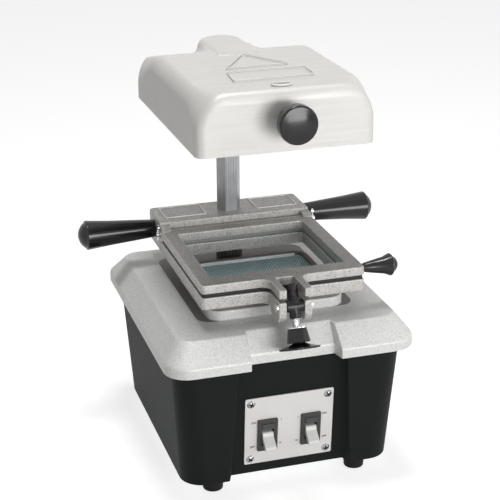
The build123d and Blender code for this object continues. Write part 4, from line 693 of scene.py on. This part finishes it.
gasket_rubber, tree, shader = begin_finish("gasket_rubber", Specular_IOR_Level=0.3)
powder = mask_of(tree, grain, Size=1.4, Contrast=2.6)
lip_tone = two_tone(tree, powder, POWDER_PALE, POWDER_DARK)
set_colour(tree, shader, marked(tree, "lip"), GASKET_BLACK, lip_tone)
set_roughness(tree, shader, powder, 0.48, 0.65)
form = packed_form("frame_gasket")
soften(form, 0.6)
inner_lip = form.verts.layers.float.new("lip")
for vert in form.verts:
    if abs(vert.co.x) < GASKET_LIP_X * MM and abs(vert.co.y - WORK_Y * MM) < GASKET_LIP_Y * MM:
        vert[inner_lip] = 1.0
new_piece("rubber_gasket", form, gasket_rubber, "upper", "black_rubber", "frame_gasket")


# ---------------------------------------------------------------- grips
# Turned grips of polished black phenolic on steel studs: a long one on each side of the slide
# block, and a short one that lifts the upper frame.
PHENOLIC = ((0.004, 0.004, 0.0055), (0.008, 0.008, 0.0095))
HANDLE_X, LONG_GRIP, SHORT_GRIP = 69.8, (70.0, 8.0, 13.25, 6.2, 1.6), (31.5, 3.8, 9.5, 5.0, 2.2)

phenolic = mottled_finish("polished_phenolic", grain, {"Size": 11.0, "Contrast": 1.6}, PHENOLIC, (0.13, 0.22),
                          Specular_IOR_Level=0.42)


def grip_profile(length, root, end, dome, rim):
    """A tapered grip: a small step at its root, a rounded rim and a low domed end."""
    crown = (dome ** 2 + (end - rim) ** 2) / (2 * dome)
    face = [(length - crown + sqrt(crown ** 2 - (radius * (end - rim)) ** 2), radius * (end - rim))
            for radius in (0.85, 0.7, 0.55, 0.4, 0.25, 0.1, 0.0)]
    return ([(0, 0), (0, root - 0.9), (0.7, root - 0.9), (0.7, root - 0.25), (1.2, root)]
            + [(0.25 * length, root + 0.25 * (end - root)), (0.6 * length, root + 0.6 * (end - root))]
            + bend(length - dome - rim, end - rim, rim, 90, 0) + face)


GRIPS = (("left_grip", "left_handle", "carriage", (-HANDLE_X, 73, 178), (-1, 0, 0), LONG_GRIP),
         ("right_grip", "right_handle", "carriage", (HANDLE_X, 73, 178), (1, 0, 0), LONG_GRIP),
         ("lift_grip", "lift_knob", "upper", (70, -82, 180.5), (1, 0, 0), SHORT_GRIP))
for name, node, body, root, along, sizes in GRIPS:
    new_piece(name, turned(root, along, grip_profile(*sizes)), phenolic, body, "gloss_black", node)


# ---------------------------------------------------------------- swing clamp
# A blackened steel eye bolt swings on a steel pin between the lower lugs. Its bright thread
# carries a plated washer and a polished black knob: a conical hub on a wide thin disc.
PIVOT = Vector((0, -113, 168))
LEAN = radians(24.2178)
HANG = Vector((0, -sin(LEAN), -cos(LEAN)))
BOLT_SHOULDER = 10.4
THREAD_RADIUS, THREAD_DEPTH, THREAD_PITCH, THREAD_END = 3.5, 0.45, 1.25, 26.1
THREAD_SIDES, THREAD_STEPS = 32, 8
WASHER_BORE, WASHER_RIM, WASHER_NEAR, WASHER_FAR, WASHER_ROUND = 3.6, 8.3, 16.9, 18.1, (0.2, 0.3)
HUB_START, HUB_END, DISC_END = 18.1, 29.5, 35.1
HUB_TOP, HUB_FOOT, NECK, DISC = 7.8, 9.5, 4.5, 16.8
DISC_CONE = ((1.3, 6.6), (2.0, 8.6), (2.7, 11.0), (3.3, 13.4))
BLACKENED = ((0.006, 0.006, 0.007), (0.022, 0.019, 0.021))

blackened = mottled_finish("blackened_steel", grain, {"Size": 3.0, "Contrast": 1.8}, BLACKENED, (0.2, 0.4),
                           Metallic=0.5)
form = packed_form("swing_bolt")
whole = form.verts[:] + form.edges[:] + form.faces[:]
cut = bmesh.ops.bisect_plane(form, geom=whole, dist=1e-6, clear_outer=True, plane_no=HANG,
                             plane_co=(PIVOT + HANG * BOLT_SHOULDER) * MM)["geom_cut"]
bmesh.ops.holes_fill(form, edges=[edge for edge in cut if isinstance(edge, bmesh.types.BMEdge)])
soften(form, 0.35)
new_piece("eye_bolt", form, blackened, "clamp_bolt", "dark_steel", "swing_bolt")

form = bmesh.new()
side = Vector((1, 0, 0))
other = HANG.cross(side)
rings = []
rows = int((THREAD_END - BOLT_SHOULDER) / THREAD_PITCH * THREAD_STEPS)
for row in range(rows + 1):
    run = BOLT_SHOULDER + row * THREAD_PITCH / THREAD_STEPS
    ring = []
    for turn in range(THREAD_SIDES):
        phase = (run / THREAD_PITCH + turn / THREAD_SIDES) % 1.0
        radius = THREAD_RADIUS - THREAD_DEPTH * abs(2 * phase - 1)
        angle = 2 * pi * turn / THREAD_SIDES
        ring.append(form.verts.new((PIVOT + HANG * run + radius * (cos(angle) * side + sin(angle) * other)) * MM))
    rings.append(ring)
skin(form, rings, capped=True)
bmesh.ops.recalc_face_normals(form, faces=form.faces)
new_piece("bolt_thread", form, plated, "clamp_bolt", "bright_steel", sharp=50)

along_round, across_round = WASHER_ROUND
washer_outline = [(WASHER_NEAR, WASHER_BORE), (WASHER_NEAR, WASHER_RIM - across_round),
                  (WASHER_NEAR + along_round, WASHER_RIM), (WASHER_FAR - along_round, WASHER_RIM),
                  (WASHER_FAR, WASHER_RIM - across_round), (WASHER_FAR, WASHER_BORE), (WASHER_NEAR, WASHER_BORE)]
new_piece("plated_washer", turned(PIVOT, HANG, washer_outline), plated, "washer", "bright_steel", "clamp_washer")
knob_outline = ([(HUB_START, WASHER_BORE), (HUB_START, HUB_TOP - 0.6)]
                + bend(HUB_START + 0.6, HUB_TOP - 0.6, 0.6, 180, 90, 3)
                + [(HUB_END - 0.5, HUB_FOOT)] + bend(HUB_END - 0.6, HUB_FOOT - 0.6, 0.6, 90, 0, 3)
                + [(HUB_END, NECK + 1.6), (HUB_END + 0.2, NECK + 0.7), (HUB_END + 0.6, NECK + 0.8)]
                + [(HUB_END + run, radius) for run, radius in DISC_CONE]
                + [(DISC_END - 1.9, DISC - 1.4)] + bend(DISC_END - 1.0, DISC - 0.9, 0.9, 150, 0, 7)
                + [(DISC_END, DISC - 3.0), (DISC_END - 0.3, DISC - 5.0), (DISC_END - 0.3, 0)])
knob_form = turned(PIVOT, HANG, knob_outline, around=96)
new_piece("clamp_hand_knob", knob_form, phenolic, "knob", "gloss_black", "clamp_knob")


# ---------------------------------------------------------------- heater hood
# A satin-finished aluminium casting: a rounded box that falls away to the rear, where the boss of
# its pivot stands up through it. Two bare raised borders and a small oval boss are cast on its
# top, and a polished black knob stands at its front.
HOOD_HALF, HOOD_FRONT, HOOD_REAR, HOOD_BOTTOM, HOOD_TOP = 73.5, -96.5, 107.5, 292.0, 342.5
HOOD_WALL, SHOULDER, SHOULDER_FRONT, SHOULDER_REAR = 4.0, 15.2, 33.0, 38.0
FRONT_BLEND, REAR_BLEND = 37.0, 59.0
FRONT_ROUND, FRONT_CORNER, REAR_ROUND, REAR_CORNER = 11.0, 8.0, 3.0, 4.5
SLOPE_Y, SLOPE_DROP, SLOPE_EASE, CREASE = 45.0, 15.0, 6.5, 3.5
BOSS_HALF, BOSS_REAR, BOSS_TOP, BOSS_ROUND, BOSS_FILLET = 21.0, 112.0, 342.9, 7.5, 6.0
BOSS_MIDDLE, BOSS_FRONT = BOSS_REAR - BOSS_HALF, 30.0
SHOULDER_STEPS, TOP_STEPS = 16, 44
SATIN_PALE, SATIN_BRUSHED = (0.72, 0.705, 0.68, 1), (0.655, 0.64, 0.615, 1)
PARTITION_SIZE, PARTITION_MIDDLE = (138, HOOD_WALL, 42), (0, 44, 314)
RIM_ROUND, BORDER_HIGH, BORDER_WIDE, OVAL_HIGH, OVAL_WIDE = 0.9, 0.35, 1.1, 0.5, 2.0
BRONZE = ((0.42, 0.27, 0.12), (0.58, 0.40, 0.20))


def hood_crown(y):
    """Height of the hood's top at y, with the change of slope eased."""
    past = (y - SLOPE_Y) / (HOOD_REAR - SLOPE_Y) * SLOPE_DROP
    ease = SLOPE_EASE / (HOOD_REAR - SLOPE_Y) * SLOPE_DROP
    return HOOD_TOP - (sqrt(past ** 2 + ease ** 2) + past) / 2


def blend(share):
    """0 to 1 with a soft start and end."""
    share = min(1.0, max(0.0, share))
    return share * share * (3 - 2 * share)


def shoulder_at(y):
    """Radius of the shoulders at y: tight along the sides and wide at both ends."""
    to_front = blend((HOOD_FRONT + FRONT_BLEND - y) / FRONT_BLEND)
    to_rear = blend((y - HOOD_REAR + REAR_BLEND) / REAR_BLEND)
    return SHOULDER + (SHOULDER_FRONT - SHOULDER) * to_front + (SHOULDER_REAR - SHOULDER) * to_rear


def boss_skirt(x, y):
    """How far the top is drawn up round the pivot's boss, as a cast fillet."""
    gap = (abs(x) if y < BOSS_MIDDLE else hypot(x, y - BOSS_MIDDLE)) - BOSS_HALF
    if y < SLOPE_Y or gap > BOSS_FILLET:
        return 0.0
    return BOSS_FILLET - sqrt(max(0.0, BOSS_FILLET ** 2 - (BOSS_FILLET - max(gap, 0.0)) ** 2))


def hood_section(y, narrowed, lowered):
    """The hood's cross-section at y, from the left rim over the top to the right rim."""
    half, bend_size = HOOD_HALF - narrowed, shoulder_at(y)
    spring, crown = HOOD_TOP - bend_size, hood_crown(y) - lowered
    side = [(-half, HOOD_BOTTOM + (spring - HOOD_BOTTOM) * share) for share in (0, 0.2, 0.6)]
    side += [(-half + bend_size * (1 - cos(turn)), spring + bend_size * sin(turn))
             for turn in (step * pi / (2 * SHOULDER_STEPS) for step in range(SHOULDER_STEPS + 1))]
    flat = half - bend_size
    top = [(-flat + 2 * flat * step / TOP_STEPS, HOOD_TOP) for step in range(1, TOP_STEPS)]
    section = []
    for x, z in side + top + [(-x, z) for x, z in reversed(side)]:
        over = z - crown
        if over > -CREASE:
            z = crown - (max(0.0, CREASE - over) ** 2 / (4 * CREASE))
        section.append((x, y, min(z + boss_skirt(x, y), BOSS_TOP - 2) if z > HOOD_BOTTOM + 20 else z))
    return section


def drawn_in(size, reach):
    """How far a quarter round of a given size is drawn in at a reach past its start."""
    return size - sqrt(max(0.0, size ** 2 - max(0.0, reach) ** 2))


stations = []
for step in range(11):
    reach = FRONT_ROUND * (1 - step / 10) ** 1.5
    stations.append((HOOD_FRONT + FRONT_ROUND - reach, drawn_in(FRONT_CORNER, reach - FRONT_ROUND + FRONT_CORNER),
                     drawn_in(FRONT_ROUND, reach)))
stations += [(y, 0.0, 0.0) for y in (*range(-80, 35, 5), *range(35, 102, 2))]
for step in range(9):
    reach = REAR_CORNER * (1 - (1 - step / 8) ** 1.5)
    stations.append((HOOD_REAR - REAR_CORNER + reach, drawn_in(REAR_CORNER, reach),
                     drawn_in(REAR_ROUND, reach - REAR_CORNER + REAR_ROUND)))
form = bmesh.new()
sections = [[form.verts.new(Vector(point) * MM) for point in hood_section(*station)] for station in stations]
for near, far in zip(sections, sections[1:]):
    for left in range(len(near) - 1):
        form.faces.new((near[left], near[left + 1], far[left + 1], far[left]))
form.faces.new(sections[0])
form.faces.new(reversed(sections[-1]))
bmesh.ops.recalc_face_normals(form, faces=form.faces)

satin, tree, shader = begin_finish("satin_casting", Metallic=0.2)
brushed = mask_of(tree, lines, Per_Metre=(14.0, 320.0, 420.0))
bloom = mask_of(tree, grain, Size=26.0, Contrast=1.6)
hazed = maths(tree, "MULTIPLY", brushed, bloom)
set_colour(tree, shader, hazed, SATIN_PALE, SATIN_BRUSHED)
set_roughness(tree, shader, brushed, 0.46, 0.58)
relief(tree, shader, maths(tree, "ADD", brushed, mask_of(tree, grain, Size=1.2, Contrast=1.2)), 0.008)

hood = new_piece("hood_shell", form, satin, "heater", "satin_casting", "heater_hood", sharp=50)
wall = hood.modifiers.new("wall", "SOLIDIFY")
wall.thickness = HOOD_WALL * MM
wall.offset = -1.0
wall.use_even_offset = True
rim = hood.modifiers.new("rim_round", "BEVEL")
rim.width = RIM_ROUND * MM
rim.segments = 3
rim.limit_method = "ANGLE"
rim.angle_limit = radians(60)
hood.modifiers.move(0, 2)


def stadium(half, rear, front, z, inset, steps=40):
    """A plan with a straight front and a round rear, drawn in by inset."""
    centre = rear - half
    points = [(half - inset, front), *[((half - inset) * cos(pi * step / steps),
                                        centre + (half - inset) * sin(pi * step / steps))
                                       for step in range(steps + 1)], (-half + inset, front)]
    return [Vector((x, y, z)) * MM for x, y in points]


form = bmesh.new()
levels = [(HOOD_BOTTOM + 0.6, 0.6), (HOOD_BOTTOM + 1.2, 0.0)]
levels += [(BOSS_TOP - BOSS_ROUND * (1 - sin(turn)), BOSS_ROUND * (1 - cos(turn)))
           for turn in (radians(9 * step) for step in range(11))]
rings = [[form.verts.new(point) for point in stadium(BOSS_HALF, BOSS_REAR, BOSS_FRONT + inset, z, inset)]
         for z, inset in levels]
skin(form, rings, capped=True)
bmesh.ops.recalc_face_normals(form, faces=form.faces)
new_piece("hood_boss", form, satin, "heater", "satin_casting", sharp=50)

form = cuboid(PARTITION_MIDDLE, PARTITION_SIZE)
soften(form, 0.8)
new_piece("hood_partition", form, satin, "heater", "satin_casting")


def form_of_curve(name, course):
    """The form that a curve or a word has when it is made solid."""
    solid = bpy.data.objects.new(name, course)
    form = bmesh.new()
    form.from_mesh(bpy.data.meshes.new_from_object(solid))
    bpy.data.objects.remove(solid)
    return form


def cast_rib(name, corners, height, thick):
    """A closed half-round rib cast on the hood's top through the given plan points."""
    course = bpy.data.curves.new(name, "CURVE")
    course.dimensions = "3D"
    course.bevel_depth = thick / 2 * MM
    course.bevel_resolution = 3
    line = course.splines.new("POLY")
    line.points.add(len(corners) - 1)
    for point, (x, y) in zip(line.points, corners):
        point.co = (x * MM, y * MM, (hood_crown(y) + height - thick / 2) * MM, 1)
    line.use_cyclic_u = True
    new_piece(name, form_of_curve(name, course), satin, "heater", "satin_casting", sharp=60)


def eased(corners, radius, steps=5):
    """The same corners with each one rounded."""
    points = []
    for index, corner in enumerate(corners):
        here = Vector(corner)
        back = (Vector(corners[index - 1]) - here).normalized()
        on = (Vector(corners[(index + 1) % len(corners)]) - here).normalized()
        start, end = here + back * radius, here + on * radius
        for step in range(steps + 1):
            share = step / steps
            points.append(start * (1 - share) ** 2 + here * 2 * share * (1 - share) + end * share ** 2)
    return [tuple(point) for point in points]


cast_rib("border_upper", eased([(0.7, 28), (26.9, -16.2), (-26.9, -18.5)], 2.0), BORDER_HIGH, BORDER_WIDE)
cast_rib("border_lower", eased([(-30, -30), (36, -31), (35, -58), (-33, -61)], 2.0), BORDER_HIGH, BORDER_WIDE)
OVAL = [(8 * cos(2 * pi * step / 40), -81 + 4 * sin(2 * pi * step / 40)) for step in range(40)]
cast_rib("oval_rim", OVAL, OVAL_HIGH, OVAL_WIDE)

bronze = mottled_finish("sintered_bronze", flecks, {"Size": 0.7}, BRONZE, Metallic=1.0, Roughness=0.45)
set_finish(nodes["heater_bushing"], bronze)
set_finish(nodes["hood_set_screw"], plated)

HOOD_KNOB_Z, HOOD_KNOB_NECK, HOOD_KNOB_LONG = 319.5, 6.5, 28.5
HOOD_KNOB_RADIUS, HOOD_KNOB_ROUND, HOOD_KNOB_DOME = 15.6, 1.8, 1.5
knob_face, knob_crown = HOOD_KNOB_LONG - HOOD_KNOB_DOME, HOOD_KNOB_RADIUS - HOOD_KNOB_ROUND
heater_knob_outline = ([(0, 0), (0, HOOD_KNOB_NECK + 1.2), (1.0, HOOD_KNOB_NECK + 1.0), (1.6, HOOD_KNOB_NECK)]
                       + [(15.2, HOOD_KNOB_NECK), (16.0, HOOD_KNOB_NECK + 1.0), (16.3, 11.5)]
                       + bend(19.1, HOOD_KNOB_RADIUS - 2.8, 2.8, 180, 90)
                       + bend(knob_face - HOOD_KNOB_ROUND, knob_crown, HOOD_KNOB_ROUND, 90, 14)
                       + [(HOOD_KNOB_LONG - HOOD_KNOB_DOME * inward ** 2, knob_crown * inward)
                          for inward in (1 - step / 8 for step in range(9))])
new_piece("heater_hand_knob", turned((0, HOOD_FRONT, HOOD_KNOB_Z), (0, -1, 0), heater_knob_outline, around=96),
          phenolic, "heater", "gloss_black", "heater_knob", sharp=38)


# ---------------------------------------------------------------- heating element
# A steel-sheathed element runs to and fro in two ceramic bars, under a bent sheet of bright
# aluminium that throws its heat down.
SHEATH = ((0.16, 0.14, 0.13), (0.30, 0.20, 0.15))
CERAMIC = ((0.74, 0.71, 0.65), (0.58, 0.54, 0.48))
MIRROR = ((0.78, 0.78, 0.79), (0.66, 0.65, 0.63))

sheath = mottled_finish("element_sheath", grain, {"Size": 8.0, "Contrast": 2.4}, SHEATH, (0.4, 0.6), Metallic=0.8)
set_finish(nodes["heater_element"], sheath)

ceramic = mottled_finish("unglazed_ceramic", grain, {"Size": 7.0, "Contrast": 1.8}, CERAMIC,
                         dents=(0.5, 1.4, 0.03), Roughness=0.8)
for number in (1, 2):
    rounded_node(f"insulator_{number}", f"ceramic_bar_{number}", ceramic, "heater", "ceramic",
                 (0.5, lambda edge: edge.calc_length() > 3 * MM))

mirror_sheet = mottled_finish("reflector_sheet", lines, {"Per_Metre": (900.0, 12.0, 900.0)}, MIRROR, (0.2, 0.32),
                              Metallic=1.0)
set_finish(nodes["reflector"], mirror_sheet)


# ---------------------------------------------------------------- switches
# An off-white enamelled plate is screwed to the front panel by four cross-head screws, and holds
# two dark lever switches with white paddles. Plain ON, OFF, I and O stand beside each one.
LEAN_PANEL = radians(4.82754)
PLATE_MIDDLE = Vector((0, -99.954, 53.6))
PLATE_UP = Vector((0, -sin(LEAN_PANEL), cos(LEAN_PANEL)))
PLATE_OUT = Vector((0, -cos(LEAN_PANEL), -sin(LEAN_PANEL)))
PLATE_THICK, PLATE_RIM_X, PLATE_RIM_UP = 1.2, 37, 30
SCREW_RADIUS, SCREW_DOME = 3.5, 1.7
CROSS_LONG, CROSS_WIDE, CROSS_DEEP = 2.3, 0.55, 1.2
SCREW_SIDES, SCREW_RINGS, SCREW_PLACES = 48, 24, [(x, y) for x in (-33.5, 33.5) for y in (-26.6, 26.6)]
ENAMEL = ((0.81, 0.795, 0.79), (0.77, 0.745, 0.725))
# The last colour here is painted shade in the screws' cross recesses.
NICKEL_DULL, NICKEL_PALE, RECESS_SHADE = (0.26, 0.28, 0.275, 1), (0.46, 0.48, 0.475, 1), (0.015, 0.017, 0.017, 1)
SHELL = ((0.020, 0.018, 0.019), (0.032, 0.029, 0.030))
PAD = ((0.036, 0.037, 0.038), (0.050, 0.051, 0.053))
PADDLE = ((0.82, 0.82, 0.80), (0.77, 0.765, 0.74))
INK = ((0.02, 0.018, 0.018), (0.06, 0.055, 0.055))
SWITCH_OFFSET, BEZEL_FACE, BEZEL_TOP, BEZEL_RAISE, BEZEL_Y = 19.0, 2.2, 7.8, 1.6, -100
LEVER_ROOT, LEVER_REACH = 5, 4
PAD_HALF, PAD_LOW, PAD_HIGH = 5.0, 1.9, 6.9
LEVER_OUT, LEVER_SHORTER, HUB_TOP_FLAT = PLATE_OUT * 0.828 - PLATE_UP * 0.56, 2.4, -1.5
LETTER_SIZE, LETTER_THICK, LETTER_BOLD, LETTER_LIFT = 2.43, 0.04, 0.07, 0.05
WORDS = (("on_left", "ON", -31.2, 8.3), ("off_left", "OFF", -31.8, -15.1),
         ("on_right", "ON", 31.2, 7.9), ("off_right", "OFF", 31.6, -15.1),
         ("bar_left", "I", -7.0, 8.3), ("ring_left", "O", -7.2, -14.8),
         ("bar_right", "I", 7.8, 8.0), ("ring_right", "O", 7.2, -15.1))


def on_plate(u, v, w=0.0):
    """A point u across, v up and w out from the middle of the plate's face."""
    return PLATE_MIDDLE + Vector((u, 0, 0)) + PLATE_UP * v + PLATE_OUT * (PLATE_THICK + w)


def place_on_plate(point):
    """How far across, up and out from the middle of the plate's face a point is."""
    away = point / MM - PLATE_MIDDLE
    return away.x, away.dot(PLATE_UP), away.dot(PLATE_OUT) - PLATE_THICK


plate_enamel = mottled_finish("off_white_enamel", grain, {"Size": 22.0, "Contrast": 1.8}, ENAMEL, (0.3, 0.42),
                              (1.5, 1.2, 0.01), Coat_Weight=0.2)
rounded_node("switch_plate", "enamel_plate", plate_enamel, "base", "switch_white",
             (0.3, lambda edge: abs(middle(edge).x) > PLATE_RIM_X
              or abs(middle(edge).z - PLATE_MIDDLE.z) > PLATE_RIM_UP))

nickel, tree, shader = begin_finish("nickel_screw", Metallic=1.0)
haze = mask_of(tree, grain, Size=1.2, Contrast=1.8)
tarnish = two_tone(tree, haze, NICKEL_DULL, NICKEL_PALE)
# Painted shade: the cross recesses are coloured near black.
set_colour(tree, shader, marked(tree, "recess"), tarnish, RECESS_SHADE)
set_roughness(tree, shader, haze, 0.16, 0.3)

for number, (u, v) in enumerate(SCREW_PLACES, start=1):
    form = bmesh.new()
    deep = form.verts.layers.float.new("recess")
    tilt = radians(20 + 25 * number)
    rings = []
    for ring_number in range(SCREW_RINGS + 1):
        radius = SCREW_RADIUS * ring_number / SCREW_RINGS
        ring = []
        for turn in range(SCREW_SIDES if ring_number else 1):
            angle = 2 * pi * turn / SCREW_SIDES
            a, b = abs(radius * cos(angle)), abs(radius * sin(angle))
            in_cross = (a < CROSS_WIDE and b < CROSS_LONG) or (b < CROSS_WIDE and a < CROSS_LONG)
            dome = SCREW_DOME * (1 - (radius / SCREW_RADIUS) ** 2.6)
            out = dome - (CROSS_DEEP * (1 - 0.3 * radius / CROSS_LONG) if in_cross else 0.0)
            ring.append(form.verts.new(on_plate(u + radius * cos(angle + tilt), v + radius * sin(angle + tilt),
                                                max(out, 0.05)) * MM))
            ring[-1][deep] = 1.0 if in_cross else 0.0
        rings.append(ring)
    rings.append([form.verts.new(on_plate(u + SCREW_RADIUS * cos(2 * pi * turn / SCREW_SIDES + tilt),
                                          v + SCREW_RADIUS * sin(2 * pi * turn / SCREW_SIDES + tilt), -0.1) * MM)
                  for turn in range(SCREW_SIDES)])
    skin(form, rings)
    form.faces.new(rings[-1])
    bmesh.ops.recalc_face_normals(form, faces=form.faces)
    new_piece(f"cross_screw_{number}", form, nickel, "base", "bright_steel", f"plate_screw_{number}", sharp=40)

shell_plastic = mottled_finish("dark_switch_shell", grain, {"Size": 5.0, "Contrast": 1.6}, SHELL, (0.26, 0.4),
                               Specular_IOR_Level=0.5)
pad_plastic = mottled_finish("grey_switch_pad", grain, {"Size": 4.0, "Contrast": 1.6}, PAD, (0.34, 0.5),
                             Specular_IOR_Level=0.5)
paddle_plastic = mottled_finish("white_paddle", grain, {"Size": 5.0, "Contrast": 1.8}, PADDLE, (0.24, 0.36),
                                Subsurface_Weight=0.05)
for name, side_of in (("vacuum", -1), ("heat", 1)):
    form = packed_form(f"{name}_switch_body")
    for vert in form.verts:
        if place_on_plate(vert.co)[1] > BEZEL_TOP:
            vert.co += PLATE_UP * BEZEL_RAISE * MM
    soften(form, 0.45, lambda edge: middle(edge).y < BEZEL_Y)
    new_piece(f"{name}_switch_shell", form, shell_plastic, "base", "switch_shell", f"{name}_switch_body")

    form = bmesh.new()
    bmesh.ops.create_cube(form, size=1.0)
    for vert in form.verts:
        u = side_of * SWITCH_OFFSET + vert.co.x * 2 * PAD_HALF
        v = (PAD_LOW + PAD_HIGH) / 2 + vert.co.y * (PAD_HIGH - PAD_LOW)
        vert.co = on_plate(u, v, BEZEL_FACE + 0.1 + vert.co.z) * MM
    bmesh.ops.recalc_face_normals(form, faces=form.faces)
    soften(form, 0.35)
    new_piece(f"{name}_switch_pad", form, pad_plastic, "base", "switch_shell")

    form = packed_form(f"{name}_paddle")
    for vert in form.verts:
        u, v, w = place_on_plate(vert.co)
        if w > LEVER_ROOT:
            vert.co -= LEVER_OUT * LEVER_SHORTER * MM
        elif v > HUB_TOP_FLAT:
            vert.co += PLATE_UP * (HUB_TOP_FLAT - v) * MM
    soften(form, 0.5, lambda edge: abs(abs(middle(edge).x) - SWITCH_OFFSET) > LEVER_REACH)
    new_piece(f"{name}_rocker", form, paddle_plastic, f"{name}_lever", "paddle_white", f"{name}_paddle")

print_ink = mottled_finish("plate_print", grain, {"Size": 0.5, "Contrast": 2.0}, INK, Roughness=0.6)
square_to_plate = Matrix((Vector((1, 0, 0)), PLATE_UP, PLATE_OUT)).transposed().to_4x4()
for name, word, u, v in WORDS:
    letters = bpy.data.curves.new(name, "FONT")
    letters.body = word
    letters.size = LETTER_SIZE * MM
    letters.align_x, letters.align_y = "CENTER", "CENTER"
    letters.extrude = LETTER_THICK * MM
    letters.offset = LETTER_BOLD * MM
    form = form_of_curve(name, letters)
    form.transform(Matrix.Translation(on_plate(u, v, LETTER_LIFT) * MM) @ square_to_plate)
    new_piece(f"print_{name}", form, print_ink, "base", "switch_white")


# ---------------------------------------------------------------- sizes
# The imported model's box and the finished model's box.
sizes = {"cad": [list(corner) for corner in cad_box], "scene": [list(corner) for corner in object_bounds()]}
